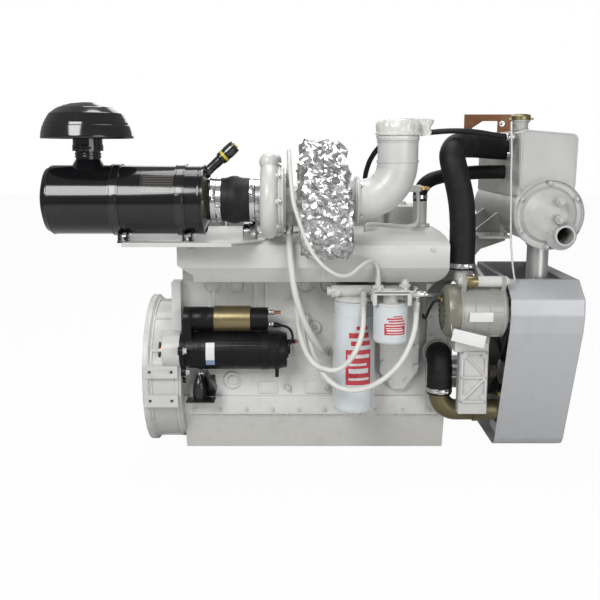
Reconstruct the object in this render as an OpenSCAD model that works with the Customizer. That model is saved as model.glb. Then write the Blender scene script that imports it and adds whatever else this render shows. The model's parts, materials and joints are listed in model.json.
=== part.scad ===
// Turbocharged six-cylinder marine diesel engine with its starter, filters, alternator and coolers.
// The X axis is the crank axis and runs from the flywheel to the belt, +Z is up, and the
// turbocharger's side is -Y. The origin is on the crank axis at the flywheel housing's rear face.

/* [Cylinder block] */
// Cylinder bore diameter
bore_dia = 102; // [94:1:104]
// Piston stroke
stroke = 120; // [110:1:122]
// Distance between neighbouring cylinder centres
cyl_spacing = 120; // [119:0.5:123]
// Height of the top deck above the crank axis
deck_height = 323; // [321:0.5:326]
// Depth of the pan rail below the crank axis
rail_drop = 105; // [104.5:0.5:108]
// Distance from the crank axis to the block's side at the cylinders
block_side = 122; // [120:0.5:124]
// Distance from the crank axis to the crankcase's side
case_side = 138; // [136:0.5:140]
// Distance from the crank axis to the pan rail's edge
rail_side = 150; // [148:0.5:152]
// Thickness of the bulkheads that carry the main bearings
bulkhead_t = 26; // [24:1:30]
// Main bearing journal diameter
main_dia = 82; // [78:1:84]
// Crank pin diameter
pin_dia = 69; // [64:1:70]
// Connecting rod length between centres, which sets the piston heights
rod_len = 192; // [190:1:196]
// Camshaft journal diameter
cam_dia = 54; // [50:1:56]

/* [Cylinder head] */
// Height of the cylinder head
head_h = 95; // [93:0.5:97]
// Distance from the crank axis to the head's side
head_side = 110; // [106:0.5:112]
// Width of the intake log on the far side
log_w = 65; // [60:1:72]
// Height of a valve cover
cover_h = 87; // [80:1:90]
// Width of a valve cover along the engine
cover_len = 106; // [96:1:112]

/* [Flywheel and housing] */
// Outside diameter of the flywheel housing's flange
hsg_dia = 451; // [449:0.5:456]
// Length of the flywheel housing
hsg_len = 110; // [109:0.5:114]
// Diameter of the pilot bore that centres the gearbox
pilot_dia = 409.58; // [409:0.01:410]
// Diameter of the gearbox bolt circle
hsg_bolt_circle = 428.63; // [427:0.01:430]
// Diameter of the threaded gearbox bolt holes
hsg_hole_dia = 8; // [7:0.5:10]
// Diameter of the clutch cover's pilot in the flywheel
clutch_pilot_dia = 352.4; // [350:0.1:354]
// Diameter of the clutch cover's bolt circle
clutch_bolt_circle = 333.4; // [331:0.1:336]
// Diameter of the clutch cover's bolt holes
clutch_hole_dia = 8; // [7:0.5:10]
// Depth of the flywheel's clutch face in the housing
clutch_face = 39.6; // [38:0.1:41]
// Module of the ring gear and starter pinion teeth
ring_module = 2.9; // [2.85:0.01:2.92]
// Distance between the mounting pad holes along the engine
pad_hole_x = 63; // [60:1:66]
// Distance between the mounting pad holes up the engine
pad_hole_z = 86; // [84:1:90]
// Diameter of the mounting pad holes
pad_hole_dia = 10.2; // [9:0.1:12]

/* [Front end] */
// Thickness of the gear housing
gear_case_len = 60; // [58:0.5:62]
// Start of the belt's pulleys, from the gear housing's front
belt_reach = 144; // [142:1:148]
// Crank pulley diameter
crank_pulley_dia = 160; // [150:1:164]
// Water pump pulley diameter
pump_pulley_dia = 130; // [120:1:134]
// Alternator pulley diameter
alt_pulley_dia = 64; // [60:1:66]
// Belt width
belt_w = 22; // [18:1:22]
// Belt thickness
belt_t = 8; // [6:0.5:9]
// Vibration damper diameter
damper_dia = 230; // [220:2:236]
// Alternator body diameter
alt_dia = 148; // [142:1:149]
// Alternator axis, distance towards the near side
alt_side = 280; // [278:1:284]
// Depth of the alternator's axis below the deck
alt_drop = 93; // [93:1:97]
// Width of the belt guard along the engine
guard_len = 203; // [196:1:210]
// Thickness of the belt guard's sheet
guard_t = 3; // [2:0.5:3.5]

/* [Turbocharger and exhaust] */
// Turbocharger and air filter axis, distance towards the near side
turbo_side = 300; // [298:0.5:303]
// Height of the turbocharger's axis above its foot
turbo_rise = 79; // [78:0.5:83]
// Start of the compressor housing along the engine
turbo_x = 356; // [354:0.5:358]
// Compressor housing diameter
comp_dia = 210; // [204:1:211]
// Turbine housing diameter
turbine_dia = 184; // [178:1:186]
// Exhaust pipe diameter
exhaust_dia = 108; // [104:1:110]
// Exhaust pipe wall thickness
exhaust_wall = 4; // [3:0.5:6]
// Bend radius of the exhaust elbow
elbow_bend = 100; // [96:1:104]
// Height of the exhaust manifold's body
manifold_h = 115; // [112:1:116]
// Distance from the crank axis to the manifold's near face
manifold_side = 290; // [288:0.5:291]

/* [Air intake] */
// Air filter body diameter
filter_dia = 183; // [178:1:184]
// Air filter body length
filter_len = 426; // [420:1:430]
// Rain cap diameter
cap_dia = 240; // [230:1:250]
// Inlet stem diameter
stem_dia = 65; // [60:1:70]
// Inlet hose outside diameter
hose_dia = 116; // [114:0.5:118]
// Thickness of the shelf plate
shelf_t = 5; // [4:0.5:5.5]

/* [Starter] */
// Starter body diameter
starter_dia = 112; // [106:1:113]
// Starter body length in front of the housing
starter_len = 308; // [300:1:312]
// Solenoid diameter
solenoid_dia = 74; // [68:1:75]
// Travel of the starter pinion
pinion_travel = 19; // [18.5:0.1:19.5]

/* [Filters] */
// Oil filter diameter
oil_filter_dia = 118; // [114:1:119]
// Oil filter length
oil_filter_len = 318; // [300:1:322]
// Coolant filter diameter
coolant_filter_dia = 94; // [90:1:96]
// Coolant filter length
coolant_filter_len = 103; // [98:1:108]

/* [Tank and hoses] */
// Length of the expansion tank across the engine
tank_len = 552; // [540:2:560]
// Height of the expansion tank above the heat exchanger's axis
tank_h = 227; // [222:1:230]
// Heat exchanger end flange diameter
exchanger_dia = 187; // [182:1:188]
// Tank wall thickness
tank_wall = 4; // [3:0.5:5]
// Raw water stub diameter
stub_dia = 54; // [50:1:56]
// Tall coolant hose diameter
tall_hose_dia = 72; // [68:1:73]
// Lower coolant pipe diameter
pipe_dia = 60; // [56:1:61]

/* [Hidden] */
$fn = 64;

// Clearances shared by all pieces: a running fit, a soft or seated piece, and the cutters' overrun
run_clear = 0.05;
seat_clear = 0.3;
overrun = 1;

// Paint and material colours
paint = [0.80, 0.81, 0.79];
dark_metal = [0.35, 0.35, 0.36];
steel = [0.62, 0.63, 0.65];
black = [0.08, 0.08, 0.09];
white = [0.9, 0.9, 0.88];
sheet_grey = [0.66, 0.67, 0.70];
brass = [0.55, 0.48, 0.25];

// Stations along the engine
cyl_count = 6;
block_x = hsg_len;
block_len = cyl_spacing * cyl_count;
case_x = block_x + block_len;
front_x = case_x + gear_case_len;
belt_x = front_x + belt_reach;
function cyl_x(i) = block_x + cyl_spacing * (i + 0.5);

// Crank train
throw = stroke / 2;
main_r = main_dia / 2;
pin_r = pin_dia / 2;
cheek = 5;
crank_gap = 4;
space_r = throw + pin_r + cheek + crank_gap;
counter_r = space_r - 11;
web_gap = 1;
web_t = 23;
nose_r = 35;
crank_flange_r = 62;
throw_angles = [90, 210, 330, 330, 210, 90];
cap_drop = 68;

// Timing gears: the crank gear has half the cam gear's teeth
crank_teeth = 40;
cam_teeth = 80;
cam_r = cam_dia / 2;
cam_distance = space_r + cam_r + 4.5;
cam_angle = 51;
cam_y = cam_distance * cos(cam_angle);
cam_z = cam_distance * sin(cam_angle);
gear_module = 2 * cam_distance / (crank_teeth + cam_teeth);
gear_face = 22;
gear_gap = 8;

// Block outline heights
ledge_drop = 55;
case_top = 10;
case_taper = 30;
cam_case_top = 150;
plug_r = 22;
plug_depth = 3;
plug_x_shares = [0.125, 0.22, 0.505, 0.595];
plug_drop = 45;
big_plug_share = 0.2;
boss_r = 11;
boss_reach = 24;

// Ring gear and starter
ring_teeth = 132;
pinion_teeth = 12;
ring_pitch_r = ring_module * ring_teeth / 2;
pinion_pitch_r = ring_module * pinion_teeth / 2;
starter_angle = 152.8;
starter_r = ring_pitch_r + pinion_pitch_r;
starter_y = starter_r * cos(starter_angle);
starter_z = starter_r * sin(starter_angle);
ring_x = 50;
ring_w = 16;
pinion_w = 17;
pinion_collar = 4;
pinion_x = ring_x + pinion_travel;
shaft_r = 7;
ear_angles = [170, 262];
hsg_wall = 18;
hsg_body_r = hsg_dia / 2 - 13.5;
flange_t = 16;
pilot_r = 41;
starter_x = hsg_len;
solenoid_r = solenoid_dia / 2;
solenoid_y = starter_y - 4;
solenoid_z = starter_z + starter_dia / 2 + solenoid_r + seat_clear;
solenoid_x = starter_x + 36;
solenoid_len = 217;

// Flywheel housing pads on both sides
pad_face = hsg_dia / 2 + 2.5;
pad_z = -5;
pad_x = 53.5;
pad_depth = 34;
pad_grow = 18;

// Oil pan
pan_flange = 6;
pan_top_side = 140;
pan_low_side = 112;
pan_wall = 3;
base_z = -hsg_dia / 2;

// Head, covers and manifold
head_gap = 2;
head_top = deck_height + head_h;
log_z = head_top - 68;
log_wall = 6;
outlet_r_water = 22;
outlet_z = deck_height - 7;
cover_side = 84;
cover_wall = 4;
cover_round = 14;
manifold_x = 119;
manifold_end = 866;
manifold_z = deck_height - 16;
manifold_top = manifold_z + manifold_h;
slope_y = 190;
slope_rise = 30;
manifold_round = 42;
duct_r = 34;
foot_x = 465;
foot_len = 110;
foot_y = 188;
foot_w = 62;
foot_t = 12;
foot_lift = 6;
foot_z = manifold_top + slope_rise + foot_lift;
turbo_z = foot_z + turbo_rise;
neck_x = 800;
neck_y = 150;
neck_r = 20;
neck_h = 78;

// Turbocharger stations along its axis
comp_len = 57;
turbo_y = -turbo_side;
scroll_r = 24;
back_r = 86;
inlet_r = 53;
inlet_wall = 3;
inlet_len = 28;
bearing_x = turbo_x + comp_len;
bearing_len = 49;
turbine_x = bearing_x + bearing_len;
turbine_len = 147;
bearing_r = 36;
outlet_r = 52;
rotor_r = 8;
wheel_clear = 2;
discharge_r = 25;
discharge_wall = 4;
discharge_z = turbo_z + comp_dia / 2 - 5;
discharge_x = turbo_x + scroll_r - 7;
elbow_x = turbine_x + turbine_len;
pipe_x = elbow_x + 8 + elbow_bend;
pipe_top = turbo_z + elbow_bend + 69;

// Foil wrap outline
foil_x = 445;
foil_len = 154;
foil_t = 5;
foil_end_t = 4;

// Air filter stations
filter_x = -230;
filter_end = filter_x + filter_len;
filter_r = filter_dia / 2;
filter_wall = 2;
filter_neck_x = filter_end + 18;
element_r = 74;
element_wall = 24;
plate_t = 4;
stem_x = -109;
stem_top = turbo_z + 163;
cap_z = turbo_z + 163;
cap_h = 93;
cap_r = cap_dia / 2;
sheet_t = 2;
hose_r = hose_dia / 2;
strap_w = 27;
strap_t = 3;
strap_x = [-44, 128];
strap_foot = 30;
clamp_w = 28;
clamp_t = 2;

// Shelf plate
shelf_y = 380;
shelf_left = -13;
shelf_right = 275;
shelf_end = 372;
shelf_corner = 262;
shelf_bend = manifold_side + 9;
shelf_z = manifold_top + 2;
shelf_slope = slope_rise / (manifold_side - 10 - slope_y);

// Restriction indicator
gauge_angle = 42;
gauge_x = 198;
gauge_rise = 66;
gauge_boss = 24;
gauge_shaft = 42;
gauge_head = 49;
gauge_r = 11;
gauge_head_r = 16;
button_r = 8;
button_travel = 3;
button_len = 9;

// Filters
oil_filter_x = 609;
oil_filter_y = -241;
head_block_z = deck_height - 57;
head_block_h = 30;
oil_filter_top = head_block_z - 13;
coolant_filter_x = 702;
coolant_filter_y = -330;
coolant_filter_top = oil_filter_top + 4;
bracket_top = head_block_z + head_block_h;
post_w = 10;
valve_x = 772;
fitting_r = 8;

// Oil cooler cover
cooler_y = 28;
cooler_plate = 15;
cooler_x = 690;
cooler_w = 115;
cooler_z = deck_height - 61;
cooler_low = -29;

// Front drive places across the engine: [distance across, height]
pump_place = [45, 190];
alt_z = deck_height - alt_drop;
alt_place = [-alt_side, alt_z];
pulley_w = 34;
rim_w = 4;
rim_h = 4;
crank_pulley_r = crank_pulley_dia / 2;
pump_pulley_r = pump_pulley_dia / 2;
alt_pulley_r = alt_pulley_dia / 2;
tension_r = 35;
tension_share = 0.55;
pivot_place = [-120, -20];
pivot_r = 9;
axle_r = 8;
arm_gap = 10;
arm_t = 19;
// The belt's straight run from the alternator to the crank pulley, and its outward direction
run_vec = -alt_place;
run_angle = atan2(run_vec[1], run_vec[0]) - acos((alt_pulley_r - crank_pulley_r) / norm(run_vec));
run_out = [cos(run_angle), sin(run_angle)];
run_start = alt_place + run_out * alt_pulley_r;
run_end = run_out * crank_pulley_r;
tension_place = run_start + (run_end - run_start) * tension_share
    + run_out * (belt_t + tension_r + 2 * seat_clear);
damper_x = belt_x + pulley_w + 8;
damper_w = 40;

// Alternator
alt_x = 850;
alt_cap_len = 43;
alt_len = 170;
alt_r = alt_dia / 2;
ear_t = 12;
tube_r = 15;
tube_place = [-alt_side - 38, alt_z + 87];

// Belt guard outline
guard_x = belt_x - 5;
guard_top_side = 330;
guard_low_side = 205;
guard_far = 165;
guard_top = 315;
guard_low = 194;
guard_knee = 225;
guard_knee_side = 336;

// Tank and heat exchanger
tank_gap = 166;
tank_x = front_x + tank_gap;
tank_y = -262;
tank_w = 152;
tank_lean = 11;
filler_in = 22;
exchanger_x = tank_x + tank_w / 2;
exchanger_rise = 172;
exchanger_z = deck_height + exchanger_rise;
exchanger_r = exchanger_dia / 2 - 8;
cover_flange = 10;
dome_h = 26;
stub_len = 24.3;
stub_collar = 3;
tank_top = exchanger_z + tank_h;
tank_low = exchanger_z + 45;
filler_x = tank_x + filler_in;
filler_y = -150;
filler_r = 22;
filler_wall = 3;
filler_h = 30;
table_z = exchanger_z - 75;
plate_thick = 6;

// Injectors and their lines
injector_y = 96;
injector_r = 10;
injector_h = 50;
line_r = 3.2;
line_lead = 170;

// Lower coolant pipe
pipe_r = pipe_dia / 2;
pipe_y = -201;
pipe_z = -80;
pipe_start_x = 862;
pipe_bend = 50;
pipe_rise_x = exchanger_x - 2;
elbow_hose_r = 36;
elbow_z = 80;

// Routes of the white hoses, picked by hand
drain_r = 9;
feed_r = 5;
loop_r = 7.5;
drain_picks = [[427, -300, 470], [427, -300, 454], [427.3, -302, 437], [428, -306, 420], [430, -313, 385],
    [434, -318, 345], [440, -316, 300], [450, -306, 255], [464, -290, 210], [481, -268, 168],
    [499, -242, 132], [515, -216, 106], [528, -188, 87], [536, -162, 82], [536, -145, 82]];
feed_picks = [[426, -300, 606], [426, -300, 622], [426, -303.5, 639], [426, -314, 654.5],
    [426, -331, 665], [427, -351, 668], [428, -372, 662], [429, -389, 648], [430, -401, 630],
    [432, -414, 604], [435, -426, 572], [440, -435, 536], [452, -440, 496],
    [466, -438, 456], [482, -438, 420], [504, -434, 388], [532, -426, 362], [564, -412, 346],
    [590, -392, 348], [617, -362, 364], [641.7, -333, 375], [655.9, -315.5, 371], [666.2, -304, 356],
    [670, -300, 336], [670, -300, 316]];
supply_picks = [[631, -300, 266], [631, -300, 248], [631, -306, 220], [628, -318, 186],
    [618, -332, 150], [602, -342, 118], [580, -346, 92], [554, -344, 76], [528, -336, 76],
    [502, -334, 86], [481, -318, 106], [465, -290, 133], [455, -256, 163], [449, -216, 194],
    [447, -178, 228], [447, -160, 240], [447, -145, 240]];
return_picks = [[772, -330, 258], [772, -330, 240], [771, -334, 210], [765, -340, 176],
    [752, -346, 140], [732, -352, 104], [706, -356, 74], [676, -360, 50], [644, -364, 34],
    [610, -366, 26], [577, -364, 28], [546, -352, 40], [521, -330, 60], [502, -300, 86],
    [488, -264, 114], [479, -226, 142], [475, -190, 168], [474, -162, 182], [474, -145, 182]];

// Routes of the black coolant hoses, held at both ends
tall_picks = [[909, -236, 340], [909, -236, 385], [909, -236, 435], [907, -236, 485],
    [901, -236, 535], [891, -236, 580], [881, -234, 618], [876, -224, 650], [886, -198, 672],
    [910, -164, 681], [944, -130, 683], [984, -106, 681], [1022, -92, 678], [1040, -90, 677],
    [1056, -90, 677]];
bypass_picks = [[800, -150, 525], [800, -150, 546], [808, -148, 566], [826, -144, 582],
    [856, -134, 592], [900, -114, 599], [950, -92, 603], [1000, -78, 605], [1035, -74, 605],
    [1056, -74, 605]];
vent_picks = [[650, -20, 505], [650, -20, 560], [655, -32, 610], [672, -58, 655],
    [704, -100, 690], [750, -148, 708], [810, -190, 716], [870, -215, 720], [930, -222, 718],
    [1000, -218, 708], [1035, -216, 704], [1056, -216, 704]];
bypass_r = 20;
vent_r = 7.5;

// The routes as they run: each one's ends follow the fittings that hold them
feed_end = [670, -300, 316];
valve_drop = 8;
function fitted(picks, start, end) = let (n = len(picks) - 1) [for (i = [0:n])
    picks[i] + (start - picks[0]) * (1 - i / n) + (end - picks[n]) * i / n];
drain_in = 14;
drain_below = 67;
hose_seat = block_side + 23;
drain_route = fitted(drain_picks, [bearing_x + drain_in, turbo_y, turbo_z - drain_below],
    [block_x + 426, -hose_seat, drain_picks[len(drain_picks) - 1][2]]);
feed_route = fitted(feed_picks, [bearing_x + drain_in - 1, turbo_y, turbo_z + 69],
    [coolant_filter_x - 32, -300, bracket_top + 20]);
supply_route = fitted(supply_picks, [oil_filter_x + 22, oil_filter_y - 59, head_block_z],
    [block_x + 337, -hose_seat, supply_picks[len(supply_picks) - 1][2]]);
return_route = fitted(return_picks, [valve_x, coolant_filter_y, head_block_z - valve_drop],
    [block_x + 364, -hose_seat, return_picks[len(return_picks) - 1][2]]);
tall_route = fitted(tall_picks, [case_x + 79, -head_side - 126, outlet_z + 24],
    [tank_x, -90, exchanger_z + 182]);
bypass_route = fitted(bypass_picks, [neck_x, -neck_y, manifold_top + slope_rise - 5 + neck_h],
    [tank_x, -74, exchanger_z + 110]);
vent_route = fitted(vent_picks, [block_x + 4.5 * cyl_spacing, -20, head_top + cover_h],
    [tank_x, -216, exchanger_z + 209]);

// Shapes turned, extruded and swept along the engine's axes
module bar_x(r, len) rotate([0, 90, 0]) cylinder(r = r, h = len);
module bar_y(r, len) rotate([-90, 0, 0]) cylinder(r = r, h = len);
module lathe_x(points) rotate([0, 90, 0]) rotate_extrude() polygon(points);
module lathe_y(points) rotate([90, 0, 0]) rotate_extrude() polygon(points);
module lathe_z(points) rotate_extrude() polygon(points);
module end_profile(len) rotate([90, 0, 90]) linear_extrude(len) children();
module side_profile(len) rotate([90, 0, 0]) linear_extrude(len) children();
module rounded_rect(w, h, r) {
    translate([r, 0]) square([w - 2 * r, h]);
    translate([0, r]) square([w, h - 2 * r]);
    for (x = [r, w - r], y = [r, h - r]) translate([x, y]) circle(r = r);
}
module hex_bolt(r, h) {
    cylinder(r = r * 1.35, h = h * 0.25);
    translate([0, 0, h * 0.25]) cylinder(r = r, h = h * 0.75, $fn = 6);
}
module gear(teeth, size, thickness) {
    pitch_r = size * teeth / 2;
    tip_r = pitch_r + size * 0.88;
    root_r = pitch_r - size * 1.12;
    step = 360 / teeth;
    tip = size * 0.40 / tip_r * 180 / PI;
    root = size * 1.06 / root_r * 180 / PI;
    linear_extrude(thickness) polygon([for (i = [0:teeth - 1], k = [0:3])
        let (a = i * step + [-root, -tip, tip, root][k], r = [root_r, tip_r, tip_r, root_r][k])
        [r * cos(a), r * sin(a)]]);
}
// A gear that turns about the X axis, with its angle counted from +Y towards +Z
module gear_x(teeth, size, thickness, angle) {
    rotate([90, 0, 90]) rotate(angle) gear(teeth, size, thickness);
}
function unit(v) = v / norm(v);
function headings(p) = [for (i = [0:len(p) - 1])
    unit(p[min(i + 1, len(p) - 1)] - p[max(i - 1, 0)])];
function side_of(d) = unit(abs(d[2]) > 0.9 ? cross(d, [0, 1, 0]) : cross(d, [0, 0, 1]));
function carry(d, i, n) = i == len(d) ? []
    : let (m = unit(n - (n * d[i]) * d[i])) concat([m], carry(d, i + 1, m));
// One closed tube along a route, with a ring of sides at each of its points
module tube(route, r, sides) {
    d = headings(route);
    n = carry(d, 0, side_of(d[0]));
    rings = len(route);
    points = [for (i = [0:rings - 1], k = [0:sides - 1])
        route[i] + r * (cos(k * 360 / sides) * n[i] + sin(k * 360 / sides) * cross(d[i], n[i]))];
    walls = [for (i = [0:rings - 2], k = [0:sides - 1], half = [0, 1])
        let (a = i * sides + k, b = i * sides + (k + 1) % sides)
        half == 0 ? [a, a + sides, b] : [b, a + sides, b + sides]];
    low_end = [for (k = [1:sides - 2]) [0, k, k + 1]];
    high_end = [for (k = [1:sides - 2]) let (e = (rings - 1) * sides) [e, e + k + 1, e + k]];
    polyhedron(points, concat(walls, low_end, high_end));
}

// Cylinder block with its bores, crankcase and camshaft tunnel
module cylinder_block() {
    outline = [[-rail_side, -rail_drop], [-rail_side, -ledge_drop], [-case_side, -ledge_drop],
        [-case_side, case_top], [-block_side, case_top + case_taper], [-block_side, deck_height],
        [block_side, deck_height], [block_side, cam_case_top + case_taper],
        [case_side, cam_case_top], [case_side, -ledge_drop], [rail_side, -ledge_drop],
        [rail_side, -rail_drop]];
    space_len = cyl_spacing - bulkhead_t;
    color(paint) difference() {
        union() {
            translate([block_x, 0, 0]) end_profile(block_len) polygon(outline);
            for (route = [drain_route, supply_route, return_route])
                translate(route[len(route) - 1]) bar_y(boss_r, boss_reach);
        }
        for (i = [0:cyl_count - 1]) {
            translate([cyl_x(i), 0, 0]) cylinder(d = bore_dia, h = deck_height + overrun);
            translate([cyl_x(i) - space_len / 2, 0, 0]) {
                bar_x(space_r, space_len);
                translate([0, -space_r, -rail_drop - overrun])
                    cube([space_len, 2 * space_r, rail_drop + overrun]);
            }
        }
        translate([block_x + bulkhead_t / 2, -space_r, -rail_drop - overrun])
            cube([block_len - bulkhead_t, 2 * space_r, rail_drop + overrun - cap_drop]);
        translate([block_x - overrun, 0, 0]) bar_x(main_r + run_clear, block_len + 2 * overrun);
        translate([block_x - overrun, cam_y, cam_z])
            bar_x(cam_r + run_clear, block_len + 2 * overrun);
        for (share = plug_x_shares) translate([block_x + share * block_len,
            -block_side - overrun, deck_height - plug_drop]) bar_y(plug_r, plug_depth + overrun);
        translate([block_x + big_plug_share * block_len, -case_side - overrun, -case_top])
            bar_y(plug_r, plug_depth + overrun);
    }
}

// Cylinder head with its intake log and thermostat housing
module cylinder_head() {
    log_x = cyl_x(0) - 20;
    log_len = cyl_x(cyl_count - 1) - log_x + 20;
    block_y = 45;
    outlet_w = 60;
    color(paint) difference() {
        union() {
            translate([block_x + head_gap, -head_side, deck_height])
                cube([block_len - 2 * head_gap, 2 * head_side, head_h]);
            translate([log_x, head_side - overrun, log_z])
                cube([log_len, log_w + overrun, head_top - log_z]);
            translate([case_x - head_gap - overrun, -head_side + 2, deck_height])
                cube([50, block_y + 5, 60]);
            translate([case_x + 45, -head_side - 40, deck_height - 30])
                cube([85, block_y + 45, 80]);
            translate([tall_route[0][0], tall_route[0][1], outlet_z]) bar_y(outlet_r_water, -head_side - tall_route[0][1]);
            translate([tall_route[0][0], tall_route[0][1], outlet_z])
                cylinder(r = outlet_r_water, h = tall_route[0][2] - outlet_z);
            translate([tall_route[0][0], tall_route[0][1], outlet_z]) sphere(r = outlet_r_water);
        }
        translate([log_x + log_wall, head_side + log_wall, log_z + log_wall])
            cube([log_len - 2 * log_wall, log_w - 2 * log_wall, head_top - log_z - 2 * log_wall]);
        translate([discharge_x, head_side + log_w / 2, head_top - 2 * log_wall])
            cylinder(r = discharge_r - discharge_wall, h = 3 * log_wall);
    }
}

// Six separate valve covers, open below
module valve_covers() {
    color(paint) for (i = [0:cyl_count - 1]) translate([cyl_x(i) - cover_len / 2, -cover_side, head_top])
        difference() {
            linear_extrude(cover_h) rounded_rect(cover_len, 2 * cover_side, cover_round);
            translate([cover_wall, cover_wall, -overrun]) linear_extrude(cover_h + overrun - cover_wall)
                rounded_rect(cover_len - 2 * cover_wall, 2 * (cover_side - cover_wall),
                    cover_round - cover_wall);
        }
}

// Pipe from the compressor's discharge, over the valve covers and down into the intake log
module charge_air_pipe() {
    start = turbo_y + 78;
    end = head_side + log_w / 2;
    bend = 60;
    color(paint) difference() {
        union() {
            translate([discharge_x, start, discharge_z]) bar_y(discharge_r, end - bend - start);
            charge_bend(end, bend, discharge_r);
            translate([discharge_x, end, head_top]) {
                cylinder(r = discharge_r, h = discharge_z - bend - head_top);
                cylinder(r = discharge_r + 4, h = 10);
            }
        }
        translate([discharge_x, start - overrun, discharge_z])
            bar_y(discharge_r - discharge_wall, end - bend - start + overrun);
        charge_bend(end, bend, discharge_r - discharge_wall);
        translate([discharge_x, end, head_top - overrun])
            cylinder(r = discharge_r - discharge_wall, h = discharge_z - bend - head_top + overrun);
    }
}
module charge_bend(end, bend, r) {
    translate([discharge_x, end - bend, discharge_z - bend]) rotate([90, 0, 90])
        rotate_extrude(angle = 90) translate([bend, 0]) circle(r = r);
}

// Water-cooled exhaust manifold, with the turbocharger's pad and a coolant neck on its top
module exhaust_manifold() {
    edge = 10;
    side = manifold_side;
    section = [[-side + 28, manifold_z], [-side, manifold_z + 43], [-side, manifold_top - edge],
        [-side + edge, manifold_top], [-slope_y, manifold_top + slope_rise],
        [-neck_y + 10, manifold_top + slope_rise], [-head_side, manifold_top + edge],
        [-head_side, manifold_z + 24], [-head_side - 40, manifold_z + 24],
        [-head_side - 44, manifold_z]];
    len = manifold_end - manifold_x;
    high = manifold_h + slope_rise;
    r = manifold_round;
    color(white) difference() {
        union() {
            intersection() {
                translate([manifold_x, 0, 0]) end_profile(len) polygon(section);
                translate([manifold_x, 0, manifold_z]) side_profile(side + overrun) union() {
                    translate([0, r * 1.2]) square([r, high - r * 1.2]);
                    polygon([[0, r * 1.2], [r * 1.6, 0], [r * 1.6, high], [0, high]]);
                    translate([r, 0]) square([len - 2 * r, high]);
                    translate([len - 2 * r, r]) square([2 * r, high - 2 * r]);
                    for (z = [r, high - r]) translate([len - r, z]) circle(r = r);
                }
            }
            translate([foot_x, -foot_y - foot_w, manifold_top - 20])
                cube([foot_len, foot_w, foot_z - manifold_top + 20]);
            translate([neck_x, -neck_y, manifold_top + slope_rise - 5]) cylinder(r = neck_r, h = neck_h);
            translate([neck_x, -neck_y, manifold_top + slope_rise - 5])
                cylinder(r = neck_r + 9, h = 13);
        }
        translate([manifold_x + 40, -slope_y - 20, manifold_z + manifold_h * 0.55])
            bar_x(duct_r, len - 80);
        translate([foot_x + foot_len / 2, -foot_y - foot_w / 2, manifold_z + manifold_h * 0.55])
            cylinder(r = duct_r - 4, h = manifold_h + slope_rise);
    }
}

// Flywheel housing with its gearbox flange, mounting pads and starter boss
module flywheel_housing() {
    bore_r = pilot_dia / 2;
    shell = [[bore_r, 0], [hsg_dia / 2, 0], [hsg_dia / 2, flange_t], [hsg_body_r, flange_t + 8],
        [hsg_body_r, hsg_len], [80, hsg_len], [80, hsg_len - hsg_wall],
        [bore_r - 7, hsg_len - hsg_wall], [bore_r, hsg_len - hsg_wall - 12]];
    color(paint) difference() {
        union() {
            lathe_x(shell);
            difference() {
                translate([ring_x + 10, starter_y, starter_z])
                    bar_x(pilot_r + 11, hsg_len - ring_x - 10);
                translate([0, 0, 0]) bar_x(bore_r - 7, hsg_len - hsg_wall);
            }
            for (side = [-1, 1]) difference() {
                for (z = [-1, 1]) translate([pad_x - pad_hole_x / 2 - pad_grow,
                    side > 0 ? pad_face - pad_depth : -pad_face,
                    pad_z + z * pad_hole_z / 2 - pad_grow])
                    cube([pad_hole_x + 2 * pad_grow, pad_depth, 2 * pad_grow]);
                translate([-overrun, 0, 0]) bar_x(hsg_body_r - 4, hsg_len + 2 * overrun);
            }
            translate([hsg_len - 26, -rail_side - 24, hsg_body_r - 70]) cube([26, 62, 150]);
        }
        translate([ring_x - 6, starter_y, starter_z])
            bar_x(pinion_pitch_r + 6, hsg_len - ring_x);
        translate([hsg_len - hsg_wall, starter_y, starter_z])
            bar_x(pilot_r + seat_clear, hsg_wall + overrun);
        for (i = [0:11]) rotate([i * 30 + 15, 0, 0]) translate([-overrun, 0, hsg_bolt_circle / 2])
            bar_x(hsg_hole_dia / 2, flange_t + 2 + overrun);
        for (side = [-1, 1], x = [-1, 1], z = [-1, 1])
            translate([pad_x + x * pad_hole_x / 2, side > 0 ? pad_face - 24 : -pad_face - overrun,
                pad_z + z * pad_hole_z / 2]) bar_y(pad_hole_dia / 2, 24 + overrun);
    }
}

// Oil pan: a flange with a tapering tray below it
module oil_pan() {
    len = front_x - block_x;
    color(paint) difference() {
        translate([block_x, 0, 0]) end_profile(len) polygon([[-rail_side, -rail_drop],
            [rail_side, -rail_drop], [rail_side, -rail_drop - pan_flange],
            [pan_top_side, -rail_drop - pan_flange], [pan_low_side, base_z],
            [-pan_low_side, base_z], [-pan_top_side, -rail_drop - pan_flange],
            [-rail_side, -rail_drop - pan_flange]]);
        translate([block_x + pan_wall, 0, 0]) end_profile(len - 2 * pan_wall)
            polygon([[-pan_top_side + pan_wall, -rail_drop + overrun],
                [pan_top_side - pan_wall, -rail_drop + overrun],
                [pan_top_side - pan_wall, -rail_drop - pan_flange],
                [pan_low_side - pan_wall, base_z + pan_wall],
                [-pan_low_side + pan_wall, base_z + pan_wall],
                [-pan_top_side + pan_wall, -rail_drop - pan_flange]]);
    }
}

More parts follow.
